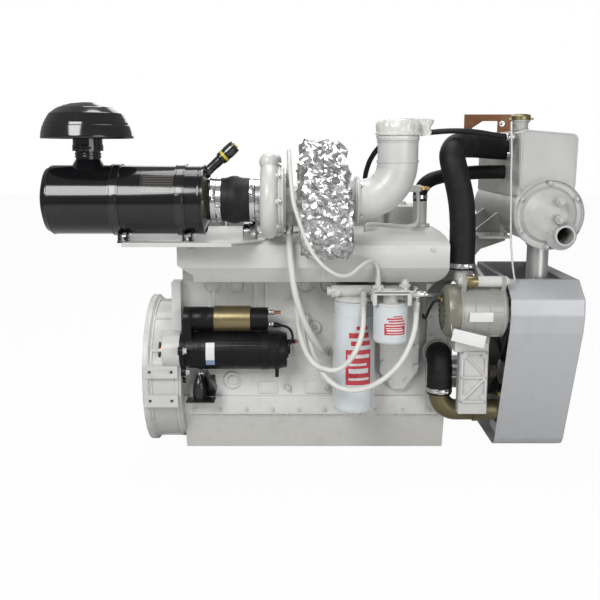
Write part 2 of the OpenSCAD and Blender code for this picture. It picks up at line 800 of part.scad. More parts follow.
// Gear housing with the tensioner's post and the fuel pump's pad
module gear_housing() {
    wall = 8;
    far = cam_y + gear_module * (cam_teeth / 2 + 1) + wall + 8;
    pump_far = far + 60;
    color(paint) difference() {
        union() {
            translate([case_x, 0, 0]) end_profile(gear_case_len) polygon([[-rail_side, -rail_drop],
                [-rail_side, 200], [-head_side, 240], [rail_side, 240], [far, 215], [far, 135],
                [pump_far, 125], [pump_far, 5], [far, -5], [rail_side, -40],
                [rail_side, -rail_drop]]);
            translate([pipe_start_x, pipe_y + pipe_bend, elbow_z]) bar_y(elbow_hose_r + 3, 10);
            translate([front_x - overrun, pivot_place[0], pivot_place[1]]) {
                bar_x(pivot_r + 6, belt_reach - arm_gap - arm_t - seat_clear + overrun);
                bar_x(pivot_r, belt_reach - arm_gap + overrun);
            }
        }
        translate([case_x + gear_gap, 0, 0]) end_profile(gear_case_len - 2 * gear_gap)
            polygon([[-60, -60], [-60, 120], [-20, 215], [far - wall, 215 - wall],
                [far - wall, 10], [60, -60]]);
        translate([case_x - overrun, 0, 0])
            bar_x(main_r + 6, gear_gap + 2 * overrun);
        translate([case_x - overrun, cam_y, cam_z]) bar_x(cam_r + 3, gear_gap + 2 * overrun);
        translate([front_x - gear_gap - overrun, 0, 0])
            bar_x(nose_r + seat_clear, gear_gap + 2 * overrun);
    }
}

// Polygonal cover of the oil cooler, on its raised seat on the block
module oil_cooler_cover() {
    low = cooler_low;
    color(white) {
        translate([cooler_x + 6, -block_side - cooler_y, case_top + case_taper])
            cube([cooler_w - 12, cooler_y, cooler_z - case_top - case_taper - 10]);
        translate([cooler_x, -block_side - cooler_y, 0]) side_profile(cooler_plate)
            polygon([[0, cooler_z], [cooler_w, cooler_z], [cooler_w, low + 57],
                [cooler_w * 0.7, low + 9], [cooler_w * 0.61, low], [cooler_w * 0.33, low],
                [0, low + 54]]);
    }
}

// Bolt heads on the castings
module casting_bolts() {
    face = -block_side - cooler_y - cooler_plate;
    cover_shares = [[0.1, 0.94], [0.9, 0.94], [0.93, 0.66], [0.93, 0.45], [0.93, 0.24], [0.7, 0.09],
        [0.3, 0.09], [0.09, 0.28], [0.08, 0.5]];
    color(paint) {
        for (s = cover_shares) translate([cooler_x + s[0] * cooler_w, face,
            cooler_low + s[1] * (cooler_z - cooler_low)]) rotate([90, 0, 0]) hex_bolt(7, 8);
        for (z = [126, 180]) translate([case_x + gear_case_len * 0.2, -rail_side, z])
            rotate([90, 0, 0]) hex_bolt(7, 9);
        for (i = [0:5]) translate([exchanger_x, tank_y - 8 - cover_flange, exchanger_z])
            rotate([0, i * 60 + 30, 0]) translate([exchanger_dia / 2 - 7, 0, 0]) rotate([90, 0, 0])
                hex_bolt(5, 6);
        for (i = [0:cyl_count - 1]) translate([cyl_x(i), 0, head_top + cover_h]) hex_bolt(8, 10);
        for (a = ear_angles) translate([starter_x + 14, starter_y, starter_z]) rotate([a, 0, 0])
            translate([0, pilot_r + 24, 0]) rotate([0, 90, 0]) hex_bolt(8, 10);
        for (i = [0:13]) translate([block_x + 30 + i * (front_x - block_x - 60) / 13,
            -rail_side + 5, -rail_drop - pan_flange]) rotate([180, 0, 0]) hex_bolt(3.4, 5);
    }
}

// One crank web with its counterweight, set at the angle of its throw
module crank_web(angle) {
    end_profile(web_t) rotate(angle) {
        circle(r = main_r + cheek);
        translate([throw, 0]) circle(r = pin_r + cheek);
        translate([0, -pin_r]) square([throw, 2 * pin_r]);
        intersection() {
            circle(r = counter_r);
            translate([-counter_r, -counter_r * 0.8]) square([counter_r, counter_r * 1.6]);
        }
    }
}

// Crankshaft with its flange, throws, timing gear and long nose
module crankshaft() {
    flange_x = hsg_len - 24;
    color(steel) {
        translate([flange_x, 0, 0]) bar_x(crank_flange_r, 23);
        for (i = [0:cyl_count]) translate([block_x + i * cyl_spacing - bulkhead_t / 2 - web_gap
            + (i == 0 ? bulkhead_t / 2 - 1 : 0), 0, 0])
            bar_x(main_r, bulkhead_t + 2 * web_gap - (i == 0 || i == cyl_count ? bulkhead_t / 2 - 1 : 0));
        for (i = [0:cyl_count - 1]) {
            start = block_x + i * cyl_spacing + bulkhead_t / 2 + web_gap;
            end = block_x + (i + 1) * cyl_spacing - bulkhead_t / 2 - web_gap;
            translate([start, 0, 0]) crank_web(throw_angles[i]);
            translate([end - web_t, 0, 0]) crank_web(throw_angles[i]);
            translate([start + web_t - overrun, throw * cos(throw_angles[i]),
                throw * sin(throw_angles[i])]) bar_x(pin_r, end - start - 2 * web_t + 2 * overrun);
        }
        translate([case_x - overrun, 0, 0]) bar_x(nose_r, damper_x + damper_w - case_x);
        translate([case_x + gear_gap + overrun, 0, 0])
            gear_x(crank_teeth, gear_module, gear_face, cam_angle);
    }
}

// Flywheel with its ring gear, clutch face and pilot
module flywheel() {
    seat_r = ring_pitch_r - ring_module * 1.12 - 4;
    back = ring_x + 22;
    rim = clutch_face - 10;
    color(steel) difference() {
        union() {
            lathe_x([[26, clutch_face + 14], [110, clutch_face + 14], [110, clutch_face],
                [clutch_pilot_dia / 2, clutch_face], [clutch_pilot_dia / 2, rim], [seat_r, rim],
                [seat_r, back], [70, back], [crank_flange_r, hsg_len - 24], [26, hsg_len - 24]]);
            difference() {
                translate([ring_x, 0, 0])
                    gear_x(ring_teeth, ring_module, ring_w, starter_angle + 180 / ring_teeth);
                translate([ring_x - overrun, 0, 0]) bar_x(seat_r - overrun, ring_w + 2 * overrun);
            }
        }
        for (i = [0:7]) rotate([i * 45, 0, 0]) translate([clutch_face - overrun, 0,
            clutch_bolt_circle / 2]) bar_x(clutch_hole_dia / 2, 20 + overrun);
    }
}

// A flat-faced pulley with side rims, from its back to its front along X
module pulley(r, bore_r) {
    rotate([0, 90, 0]) rotate_extrude() polygon([[bore_r, 0], [r + rim_h, 0], [r + rim_h, rim_w],
        [r, rim_w], [r, pulley_w - rim_w], [r + rim_h, pulley_w - rim_w], [r + rim_h, pulley_w],
        [bore_r, pulley_w]]);
}

// Crank pulley and vibration damper on one hub
module damper_pulley() {
    bore_r = nose_r + seat_clear / 3;
    color(dark_metal) {
        translate([belt_x, 0, 0]) pulley(crank_pulley_r, bore_r);
        translate([belt_x + pulley_w - overrun, 0, 0]) lathe_x([[bore_r, 0], [nose_r + 18, 0],
            [nose_r + 18, 10], [bore_r, 10]]);
        translate([damper_x, 0, 0]) lathe_x([[bore_r, 0], [damper_dia / 2 - 26, 0],
            [damper_dia / 2 - 26, 4], [damper_dia / 2 - 20, 4], [damper_dia / 2 - 20, 0],
            [damper_dia / 2, 0], [damper_dia / 2, damper_w], [damper_dia / 2 - 20, damper_w],
            [damper_dia / 2 - 20, damper_w - 4], [damper_dia / 2 - 26, damper_w - 4],
            [damper_dia / 2 - 26, damper_w], [bore_r, damper_w]]);
    }
}

// Camshaft with its journals, lobes and gear
module camshaft() {
    lobe_r = cam_r - 9;
    lobe_w = 16;
    color(steel) translate([0, cam_y, cam_z]) {
        translate([block_x + 2, 0, 0]) bar_x(cam_r - 9, block_len + gear_gap);
        for (i = [0:3]) translate([block_x + 2 + i * (block_len - 34) / 3, 0, 0]) bar_x(cam_r, 30);
        for (i = [0:cyl_count - 1], k = [0, 1])
            translate([cyl_x(i) + (k == 0 ? -lobe_w - 10 : 10), 0, 0])
                end_profile(lobe_w) rotate(-throw_angles[i] / 2 + k * 110)
                    translate([cam_r - lobe_r - 1, 0]) circle(r = lobe_r);
        translate([case_x + gear_gap + overrun, 0, 0])
            gear_x(cam_teeth, gear_module, gear_face, cam_angle + 180 + 180 / cam_teeth);
        translate([case_x + gear_gap + overrun, 0, 0]) bar_x(cam_r - 9, gear_face + 6);
    }
}

// A pair of pistons with their pins, at the height that their crank throw sets
module piston_pair(cylinders) {
    r = bore_dia / 2 - run_clear;
    above = 58;
    skirt = 34;
    wall = 8;
    crown = 18;
    angle = throw_angles[cylinders[0]];
    swing = throw * cos(angle);
    pin_z = throw * sin(angle) + sqrt(rod_len * rod_len - swing * swing);
    lift = deck_height - overrun - rod_len - throw - above;
    color(steel) for (i = cylinders) translate([cyl_x(i), 0, pin_z + lift]) {
        difference() {
            translate([0, 0, -skirt]) cylinder(r = r, h = skirt + above);
            translate([0, 0, -skirt - overrun]) cylinder(r = r - wall, h = skirt + above - crown);
            for (k = [0:2]) translate([0, 0, above - 10 - 9 * k]) difference() {
                cylinder(r = r + overrun, h = 3);
                cylinder(r = r - 4, h = 3);
            }
        }
        translate([0, -r + wall, 0]) bar_y(20, 2 * (r - wall));
    }
}
module outer_pistons() piston_pair([0, 5]);
module middle_pistons() piston_pair([1, 4]);
module inner_pistons() piston_pair([2, 3]);

// Compressor housing with its scroll, inlet neck and discharge
module compressor_housing() {
    scroll_c = comp_dia / 2 - scroll_r;
    color(white) translate([turbo_x, turbo_y, turbo_z]) difference() {
        union() {
            translate([scroll_r - 5, 0, 0]) rotate([0, 90, 0]) rotate_extrude()
                translate([scroll_c, 0]) circle(r = scroll_r);
            bar_x(scroll_c, comp_len);
            translate([comp_len - 15, 0, 0]) bar_x(back_r, 15);
            translate([-inlet_len, 0, 0]) bar_x(inlet_r, inlet_len + overrun);
            translate([discharge_x - turbo_x, 0, discharge_z - turbo_z]) {
                translate([0, -18, 0]) bar_y(discharge_r, 96);
                translate([0, -18, 0]) sphere(r = discharge_r);
            }
        }
        translate([-inlet_len - overrun, 0, 0]) bar_x(inlet_r - inlet_wall, inlet_len + 15);
        translate([10, 0, 0]) lathe_x([[0, 0], [inlet_r - inlet_wall - 6, 0],
            [inlet_r - inlet_wall - 6, 12], [66, 30], [66, comp_len], [0, comp_len]]);
        translate([discharge_x - turbo_x, 0, discharge_z - turbo_z])
            bar_y(discharge_r - discharge_wall, 90);
    }
}

// Bearing housing with its oil inlet and drain bosses
module bearing_housing() {
    feed_x = feed_route[0][0] - bearing_x;
    drain_x = drain_route[0][0] - bearing_x;
    color(dark_metal) translate([bearing_x, turbo_y, turbo_z]) difference() {
        union() {
            bar_x(back_r - 16, 6);
            bar_x(bearing_r, bearing_len);
            translate([bearing_len - 6, 0, 0]) bar_x(60, 6);
            translate([feed_x, 0, 0]) cylinder(r = 10, h = feed_route[0][2] - turbo_z);
            translate([drain_x, 0, drain_route[0][2] - turbo_z])
                cylinder(r = 13, h = turbo_z - drain_route[0][2]);
        }
        translate([-overrun, 0, 0]) bar_x(rotor_r + run_clear, bearing_len + 2 * overrun);
    }
}

// Turbine housing with its scroll, outlet neck and foot
module turbine_housing() {
    r = turbine_dia / 2;
    ring_r = 30;
    foot_mid = -foot_y - turbo_y - foot_w;
    color(dark_metal) difference() {
        union() {
            translate([turbine_x, turbo_y, turbo_z]) {
                translate([ring_r + 8, 0, 0]) rotate([0, 90, 0]) rotate_extrude()
                    translate([r - ring_r, 0]) circle(r = ring_r);
                bar_x(r - ring_r, 100);
                translate([90, 0, 0]) bar_x(outlet_r, turbine_len - 90);
                translate([turbine_len - 6, 0, 0]) bar_x(outlet_r + 8, 6);
            }
            translate([foot_x, -foot_y - foot_w, foot_z]) cube([foot_len, foot_w, foot_t]);
            translate([foot_x + 15, -foot_y - foot_w + 8, foot_z])
                cube([foot_len - 40, foot_w - 32, turbo_z - foot_z - 10]);
        }
        translate([turbine_x, turbo_y, turbo_z]) {
            translate([-overrun, 0, 0]) bar_x(46, turbine_len + 2 * overrun);
        }
        translate([foot_x + foot_len / 2 - 4, -foot_y - foot_w / 2, foot_z - overrun])
            cylinder(r = duct_r - 8, h = 40);
    }
}

// A bladed wheel on the rotor, wide at its back
module blade_wheel(nose_r, back_r, len, blades) {
    lathe_x([[0, 0], [nose_r * 0.4, 0], [nose_r * 0.5, len * 0.5], [back_r, len - 3], [back_r, len],
        [0, len]]);
    for (i = [0:blades - 1]) rotate([i * 360 / blades, 0, 0]) rotate([90, 0, 0])
        linear_extrude(1.5) polygon([[2, 5], [2, nose_r], [len * 0.5, nose_r],
            [len - 2, back_r - 2], [len - 2, 5]]);
}

// Turbocharger shaft with the compressor and turbine wheels
module turbo_rotor() {
    comp_wheel = 40;
    turbine_wheel = 40;
    color(steel) translate([bearing_x, turbo_y, turbo_z]) {
        translate([-comp_wheel - wheel_clear, 0, 0]) {
            bar_x(rotor_r, comp_wheel + bearing_len + 2 * wheel_clear + turbine_wheel);
            blade_wheel(36, 60, comp_wheel, 10);
        }
        translate([bearing_len + wheel_clear + turbine_wheel, 0, 0]) mirror([1, 0, 0])
            blade_wheel(38, 42, turbine_wheel, 10);
    }
}

// Outline of the crumpled foil round the turbine housing, drawn in by a margin
module foil_outline(margin) {
    hull() {
        translate([turbo_y, turbo_z + 101]) circle(r = 65 - margin, $fn = 32);
        translate([turbo_y, turbo_z]) circle(r = turbine_dia / 2 + 24 - margin, $fn = 32);
        translate([turbo_y - 52, turbo_z - 112]) circle(r = 52 - margin, $fn = 32);
    }
}

// Aluminium foil wrapped round the turbine housing
module foil_wrap() {
    color([0.85, 0.86, 0.88]) difference() {
        translate([foil_x, 0, 0]) end_profile(foil_len) foil_outline(0);
        translate([foil_x + foil_end_t, 0, 0]) end_profile(foil_len - 2 * foil_end_t)
            foil_outline(foil_t);
        translate([foil_x - overrun, turbo_y, turbo_z]) {
            bar_x(bearing_r + 2 * seat_clear, foil_end_t + 2 * overrun);
            translate([foil_len - foil_end_t, 0, 0])
                bar_x(outlet_r + 2 * seat_clear, foil_end_t + 2 * overrun);
        }
        translate([drain_route[0][0], turbo_y, 0]) cylinder(r = 15 + seat_clear, h = turbo_z);
        translate([feed_route[0][0], turbo_y, turbo_z]) cylinder(r = 10 + seat_clear, h = turbo_z);
        translate([foil_x - overrun, -manifold_side - 2, 0])
            cube([foil_len + 2 * overrun, manifold_side, foot_z + foot_t + 4]);
    }
}

// Exhaust elbow with its flange, bead and collar
module exhaust_elbow() {
    r = exhaust_dia / 2;
    up = turbo_z + elbow_bend;
    color(white) difference() {
        union() {
            translate([elbow_x, turbo_y, turbo_z]) {
                bar_x(r, 8);
                bar_x(outlet_r + 8, 6);
            }
            elbow_curve(r);
            translate([pipe_x, turbo_y, up]) cylinder(r = r, h = pipe_top - up);
            translate([pipe_x, turbo_y, up]) cylinder(r = r + 2.5, h = 5);
            translate([pipe_x, turbo_y, pipe_top - 12]) cylinder(r = r + 2.5, h = 8);
        }
        translate([elbow_x - overrun, turbo_y, turbo_z]) bar_x(r - exhaust_wall, 8 + overrun);
        elbow_curve(r - exhaust_wall);
        translate([pipe_x, turbo_y, up]) cylinder(r = r - exhaust_wall, h = pipe_top - up + overrun);
    }
}
module elbow_curve(r) {
    translate([elbow_x + 8, turbo_y, turbo_z + elbow_bend]) rotate([90, 0, 0]) rotate([0, 0, -90])
        rotate_extrude(angle = 90) translate([elbow_bend, 0]) circle(r = r);
}

// Plastic film tied over the exhaust outlet, with a loose flap
module outlet_film() {
    r = exhaust_dia / 2;
    gap = 2 * seat_clear;
    color([0.85, 0.85, 0.82]) difference() {
        union() {
            translate([pipe_x, turbo_y, pipe_top - 3.5]) cylinder(r = r + gap + 1.5, h = 30);
            translate([pipe_x, turbo_y, pipe_top + 26]) cylinder(r1 = r + 2, r2 = r - 12, h = 22);
            translate([pipe_x + r - 2, turbo_y - 14, pipe_top + 4]) cube([40, 8, 28]);
        }
        translate([pipe_x, turbo_y, pipe_top - 3.5 - overrun])
            cylinder(r = r + gap, h = 28 + overrun);
    }
}

// Air filter body: a long drum with its outlet cone, inlet stem and gauge boss
module air_filter_body() {
    r = filter_r;
    w = filter_wall;
    neck = inlet_r;
    ends = [filter_x, filter_end, filter_neck_x, filter_neck_x + 28];
    color(black) difference() {
        union() {
            translate([0, turbo_y, turbo_z]) lathe_x([[0, ends[0]], [r * 0.65, ends[0] + 3],
                [r * 0.92, ends[0] + 12], [r, ends[0] + 26], [r, ends[1]], [neck + 6, ends[2] - 4],
                [neck, ends[2]], [neck, ends[3]], [0, ends[3]]]);
            translate([stem_x, turbo_y, turbo_z]) {
                cylinder(d = stem_dia, h = stem_top - turbo_z);
                translate([0, 0, r - 14]) cylinder(r1 = stem_dia / 2 + 18, r2 = stem_dia / 2, h = 30);
            }
            translate([gauge_x, turbo_y, turbo_z + gauge_rise]) rotate([0, 90 - gauge_angle, 0])
                translate([0, 0, -16]) cylinder(r = gauge_r + 2, h = gauge_boss + 16);
        }
        difference() {
            translate([0, turbo_y, turbo_z]) lathe_x([[0, ends[0] + w], [r * 0.65 - w, ends[0] + w + 3],
                [r * 0.92 - w, ends[0] + w + 12], [r - w, ends[0] + w + 26], [r - w, ends[1] - 1],
                [neck + 6 - w, ends[2] - 5], [neck - w, ends[2]], [neck - w, ends[3] + overrun],
                [0, ends[3] + overrun]]);
            translate([ends[1] - 10, turbo_y, turbo_z])
                lathe_x([[neck - 6, 0], [r, 0], [r, plate_t], [neck - 6, plate_t]]);
        }
        translate([stem_x, turbo_y, turbo_z + r / 2])
            cylinder(d = stem_dia - 2 * w, h = stem_top - turbo_z - r / 2 + overrun);
    }
}

// Pleated paper element inside the air filter
module air_filter_element() {
    len = filter_end - 10 - filter_x - 44;
    color([0.8, 0.6, 0.3]) translate([filter_x + 44, turbo_y, turbo_z]) lathe_x([[0, 0],
        [element_r, 0], [element_r, len], [element_r - element_wall, len],
        [element_r - element_wall, 4], [0, 4]]);
}

// Rain cap: a wide mushroom open below, held over its neck by four vanes
module rain_cap() {
    r = cap_r;
    h = cap_h;
    w = sheet_t;
    neck = stem_dia / 2 + seat_clear;
    inside = [[0, -overrun], [r - w, -overrun], [r * 0.97 - w / 2, h * 0.16],
        [r * 0.91 - w / 2, h * 0.41], [r * 0.80 - w / 2, h * 0.65], [r * 0.6, h * 0.82],
        [r * 0.33, h * 0.92], [0, h * 0.95]];
    color(black) translate([stem_x, turbo_y, cap_z]) {
        difference() {
            lathe_z([[0, 0], [r, 0], [r * 0.99, h * 0.16], [r * 0.93, h * 0.42],
                [r * 0.82, h * 0.66], [r * 0.62, h * 0.85], [r * 0.35, h * 0.96], [0, h]]);
            lathe_z(inside);
        }
        intersection() {
            lathe_z(concat(inside, [[0, h * 0.97]]));
            for (a = [45:90:315]) rotate(a) translate([neck + w, -w / 2, h * 0.1])
                cube([r, w, h * 0.9]);
        }
        lathe_z([[neck, -34], [neck + 6, -34], [neck + 6, 0], [neck + 2 * w, 0],
            [neck + 2 * w, h * 0.5], [neck, h * 0.5]]);
    }
}

// A flat band round a hose or drum, with its tightening block on the near side
module band(r, w, t, block) {
    difference() {
        union() {
            bar_x(r + t, w);
            translate([w * 0.1, -r - t - block[1], -block[2] / 2]) cube([w * 0.8, block[1] + 4, block[2]]);
        }
        translate([-overrun, 0, 0]) bar_x(r, w + 2 * overrun);
    }
}

// Air filter straps with their feet, and the hose clamps
module band_clamps() {
    gap = seat_clear;
    r = filter_r + gap;
    color(dark_metal) {
        for (x = strap_x) translate([x, turbo_y, turbo_z]) difference() {
            union() {
                bar_x(r + strap_t, strap_w);
                translate([strap_w / 2, -45, shelf_z + shelf_t - turbo_z])
                    cube([strap_foot, 38, turbo_z - shelf_z - shelf_t - r + 22]);
            }
            translate([-overrun, 0, 0]) bar_x(r, strap_w + strap_foot + 2 * overrun);
        }
        for (x = [filter_neck_x + 4, turbo_x - inlet_len - 7]) translate([x, turbo_y, turbo_z])
            rotate([-22, 0, 0]) band(hose_r + gap, clamp_w, clamp_t, [0, 10, 34]);
        translate([tall_route[0][0], tall_route[0][1], tall_route[0][2] + 5]) rotate([0, -90, 0])
            band(tall_hose_dia / 2 + gap, 14, clamp_t, [0, 7, 18]);
    }
}

// Shelf plate, bent to lie on the manifold's sloping top, with one corner cut back
module filter_shelf() {
    rise = (shelf_bend - slope_y) * shelf_slope;
    low = shelf_z - shelf_slope;
    color(paint) intersection() {
        translate([shelf_left, 0, 0]) end_profile(shelf_end - shelf_left) polygon([
            [-shelf_y, low - 6], [-shelf_y + 3, low - 6], [-shelf_y + 3, low],
            [-shelf_bend, low], [-manifold_side + 10, manifold_top], [-slope_y, manifold_top + slope_rise],
            [-slope_y, manifold_top + slope_rise + shelf_t], [-manifold_side + 10, manifold_top + shelf_t],
            [-shelf_bend, low + shelf_t], [-shelf_y, low + shelf_t]]);
        translate([0, 0, low - 10]) linear_extrude(rise + 60) polygon([[shelf_left, -shelf_y],
            [shelf_right, -shelf_y], [shelf_end, -shelf_corner], [shelf_end, -slope_y],
            [shelf_left, -slope_y]]);
    }
}

// Rubber inlet hose with its hump
module inlet_hose() {
    r = hose_r;
    inner = inlet_r + seat_clear;
    start = filter_neck_x + 2;
    end = turbo_x - seat_clear;
    mid = (start + end) / 2;
    color(black) translate([0, turbo_y, turbo_z]) lathe_x([[inner, start], [r, start],
        [r, mid - 18], [r + 5, mid - 8], [r + 5, mid + 2], [r, mid + 14], [r, end], [inner, end]]);
}

// Places a piece along the restriction indicator's slanted axis
module on_gauge_axis(s) {
    translate([gauge_x, turbo_y, turbo_z + gauge_rise]) rotate([0, 90 - gauge_angle, 0])
        translate([0, 0, gauge_boss + s]) children();
}

// Restriction indicator: a shaft and a clear head
module restriction_indicator() {
    color(black) on_gauge_axis(0) difference() {
        union() {
            cylinder(r = gauge_r, h = gauge_shaft);
            translate([0, 0, gauge_shaft - 6]) cylinder(r1 = gauge_r, r2 = gauge_head_r, h = 6);
            translate([0, 0, gauge_shaft]) cylinder(r = gauge_head_r, h = gauge_head);
        }
        translate([0, 0, gauge_shaft + gauge_head - button_len])
            cylinder(r = button_r + run_clear, h = button_len + overrun);
    }
}

// Reset button in the indicator's end
module indicator_button() {
    color("gold") on_gauge_axis(gauge_shaft + gauge_head - button_len + button_travel + seat_clear)
        cylinder(r = button_r, h = button_len);
}

// Starter motor with its pilot, flange and solenoid lug
module starter_motor() {
    r = starter_dia / 2;
    len = starter_len;
    lug_t = solenoid_x - starter_x - 12;
    color(black) difference() {
        union() {
            translate([starter_x, starter_y, starter_z]) lathe_x([[0, -hsg_wall], [pilot_r, -hsg_wall],
                [pilot_r, 0], [pilot_r + 12, 0], [pilot_r + 12, 14], [r - 8, 14], [r, 56],
                [r, len - 24], [r - 3, len - 12], [r - 6, len], [0, len]]);
            translate([starter_x, starter_y, starter_z]) for (a = ear_angles) rotate([a, 0, 0]) {
                translate([0, pilot_r + 24, 0]) bar_x(12, 14);
                translate([1, 0, -11]) cube([12, pilot_r + 24, 22]);
            }
            translate([starter_x + 12, solenoid_y - solenoid_r + 4, starter_z])
                cube([lug_t - 1, 2 * solenoid_r - 10, solenoid_z - starter_z]);
            translate([starter_x + 12, solenoid_y, solenoid_z]) bar_x(solenoid_r - 2, lug_t);
            translate([starter_x + len - overrun, starter_y - 10, starter_z + 27]) bar_x(6, 26);
        }
        translate([starter_x + 44, starter_y, starter_z]) bar_x(42, len - 68);
        translate([starter_x - hsg_wall - overrun, starter_y, starter_z])
            bar_x(shaft_r + run_clear, len + hsg_wall - 12);
    }
}

// Starter solenoid with its terminal studs
module starter_solenoid() {
    color(brass) translate([solenoid_x, solenoid_y, solenoid_z]) {
        bar_x(solenoid_r - 3, solenoid_len * 0.3);
        translate([solenoid_len * 0.3 - overrun, 0, 0]) bar_x(solenoid_r, solenoid_len * 0.48);
        translate([solenoid_len * 0.75, 0, 0]) bar_x(solenoid_r - 4, solenoid_len * 0.25);
        for (z = [-18, 18]) translate([solenoid_len - overrun, -6, z]) bar_x(5, 20);
    }
}

// Armature and its long shaft, which carries the pinion
module starter_armature() {
    color(dark_metal) translate([0, starter_y, starter_z]) {
        translate([ring_x - 3, 0, 0]) bar_x(shaft_r, starter_x + starter_len - 20 - ring_x);
        translate([starter_x + 80, 0, 0]) bar_x(38, 150);
        translate([starter_x + 245, 0, 0]) bar_x(24, 30);
    }
}

// Sliding starter pinion, at rest clear of the ring gear
module starter_pinion() {
    color(steel) translate([pinion_x, starter_y, starter_z]) difference() {
        union() {
            gear_x(pinion_teeth, ring_module, pinion_w, starter_angle + 180);
            translate([pinion_w - overrun, 0, 0]) bar_x(13, pinion_collar + overrun);
        }
        translate([-overrun, 0, 0]) bar_x(shaft_r + run_clear, pinion_w + pinion_collar + 2 * overrun);
    }
}

// Stop solenoid with its boot, on a plate at the block's ledge
module stop_solenoid() {
    color(black) translate([0, -rail_side, 0]) {
        translate([145, -6, -rail_drop + 6]) cube([60, 6, rail_drop + 4]);
        translate([150, -24, -12]) cube([30, 20, 24]);
        translate([133, -24, 0]) bar_x(17, 56);
        translate([188, -24, 0]) rotate([0, 90, 0]) cylinder(r1 = 13, r2 = 8, h = 26);
        translate([212, -24, 0]) bar_x(4, 12);
    }
}

// Large spin-on oil filter
module oil_filter() {
    r = oil_filter_dia / 2;
    len = oil_filter_len;
    color(white) translate([oil_filter_x, oil_filter_y, oil_filter_top]) rotate_extrude()
        polygon([[0, 0], [r - 4, 0], [r - 3, -3], [r - 3, -38], [r, -42], [r, 10 - len],
            [r - 4, 3 - len], [r - 12, -len], [0, -len]]);
}

// Filter head for both filters, with the coolant filter's window bracket and the hose fittings
module filter_head() {
    h = head_block_h;
    z = head_block_z;
    half = oil_filter_dia / 2 - 6;
    bw = coolant_filter_dia / 2 + 4;
    bx = coolant_filter_x;
    by = coolant_filter_y;
    color(white) {
        translate([oil_filter_x, oil_filter_y, oil_filter_top]) cylinder(r = half, h = z - oil_filter_top + 2);
        translate([oil_filter_x - half, oil_filter_y - 26, z]) cube([2 * half, -block_side - oil_filter_y + 26, h]);
        translate([oil_filter_x - half - 12, oil_filter_y - 21, z + 15]) bar_x(17, 2 * half + 18);
        translate([oil_filter_x - half - 20, oil_filter_y - 21, z + 15]) bar_x(12, 12);
        translate([bx - bw, by - 42, bracket_top - 8]) cube([2 * bw, oil_filter_y - by + 72, 8]);
        translate([oil_filter_x, oil_filter_y + 10, bracket_top - 8]) cube([bx - oil_filter_x, 50, 8]);
        translate([bx, by, coolant_filter_top]) cylinder(r = bw - 6, h = 6);
        translate([bx, by, coolant_filter_top]) cylinder(r = 20, h = bracket_top - coolant_filter_top);
        for (x = [-bw, bw - post_w], y = [-42, 22]) translate([bx + x, by + y, coolant_filter_top + 3])
            cube([post_w, 20, bracket_top - coolant_filter_top - 5]);
        translate([bx + 42, by + 30, bracket_top - 2]) cylinder(r = 11, h = 22);
        translate([feed_route[len(feed_route) - 1][0], feed_route[len(feed_route) - 1][1], bracket_top - 2])
            cylinder(r = fitting_r, h = feed_route[len(feed_route) - 1][2] - bracket_top + 2);
        translate([supply_route[0][0], supply_route[0][1], z + 15]) {
            bar_y(fitting_r, 40);
            sphere(r = fitting_r);
            translate([0, 0, supply_route[0][2] - z - 15]) cylinder(r = fitting_r, h = z + 15 - supply_route[0][2]);
        }
        translate([bx + bw - 2, by, z + 18]) bar_x(9, valve_x - bx - bw + 12);
        translate([valve_x, by, return_route[0][2]]) cylinder(r = fitting_r, h = z + 18 - return_route[0][2]);
    }
}

// Small spin-on coolant filter
module coolant_filter() {
    r = coolant_filter_dia / 2;
    len = coolant_filter_len;
    color(white) translate([coolant_filter_x, coolant_filter_y, coolant_filter_top]) rotate_extrude()
        polygon([[0, 0], [r - 3, 0], [r, -4], [r, 10 - len], [r - 3, 3 - len], [r - 9, -len],
            [0, -len]]);
}

// Lever of the shut-off valve
module shutoff_valve() {
    color(steel) translate([valve_x - 4, coolant_filter_y, head_block_z + 27 + seat_clear]) {
        cylinder(r = 5, h = 8);
        translate([-5, -16, 6]) cube([10, 32, 5]);
    }
}

module oil_drain_hose() color(white) tube(drain_route, drain_r, 10);
module oil_feed_hose() color(white) tube(feed_route, feed_r, 10);
module filter_supply_hose() color(white) tube(supply_route, loop_r, 10);
module filter_return_hose() color(white) tube(return_route, loop_r, 10);

// Alternator body with its end cap, ears and foot
module alternator_body() {
    y = alt_place[0];
    z = alt_place[1];
    inner = alt_r - 14;
    color(paint) difference() {
        union() {
            translate([alt_x, y, z]) lathe_x([[0, 0], [alt_r - 16, 0], [alt_r - 3, 10], [alt_r, 20],
                [alt_r, alt_cap_len], [alt_r - 2, alt_cap_len + 2], [alt_r - 2, alt_len - 8],
                [alt_r - 10, alt_len], [0, alt_len]]);
            for (x = [alt_cap_len + 2, alt_len - ear_t - 6]) translate([alt_x + x, 0, 0])
                end_profile(ear_t) polygon([[y - 40, z + 55], [tube_place[0] - tube_r, tube_place[1] - 6],
                    [tube_place[0] - 5, tube_place[1] + tube_r], [tube_place[0] + tube_r, tube_place[1]],
                    [y + 20, z + 65]]);
            translate([alt_x + alt_cap_len + 12, y - 5, z - alt_r - 18]) cube([80, 36, 40]);
        }
        translate([alt_x + 12, y, z]) bar_x(inner, alt_len - 24);
        translate([alt_x + 4, y, z]) bar_x(8 + run_clear, alt_len);
        translate([alt_x, tube_place[0], tube_place[1]])
            translate([alt_cap_len + 2 - overrun, 0, 0]) bar_x(8, alt_len);
    }
}

// Alternator rotor, shaft and pulley
module alternator_rotor() {
    color(steel) translate([alt_x, alt_place[0], alt_place[1]]) {
        translate([6, 0, 0]) bar_x(8, belt_x + pulley_w + 4 - alt_x - 6);
        translate([40, 0, 0]) bar_x(alt_r - 24, 84);
        translate([belt_x - alt_x, 0, 0]) pulley(alt_pulley_r, 6);
    }
}

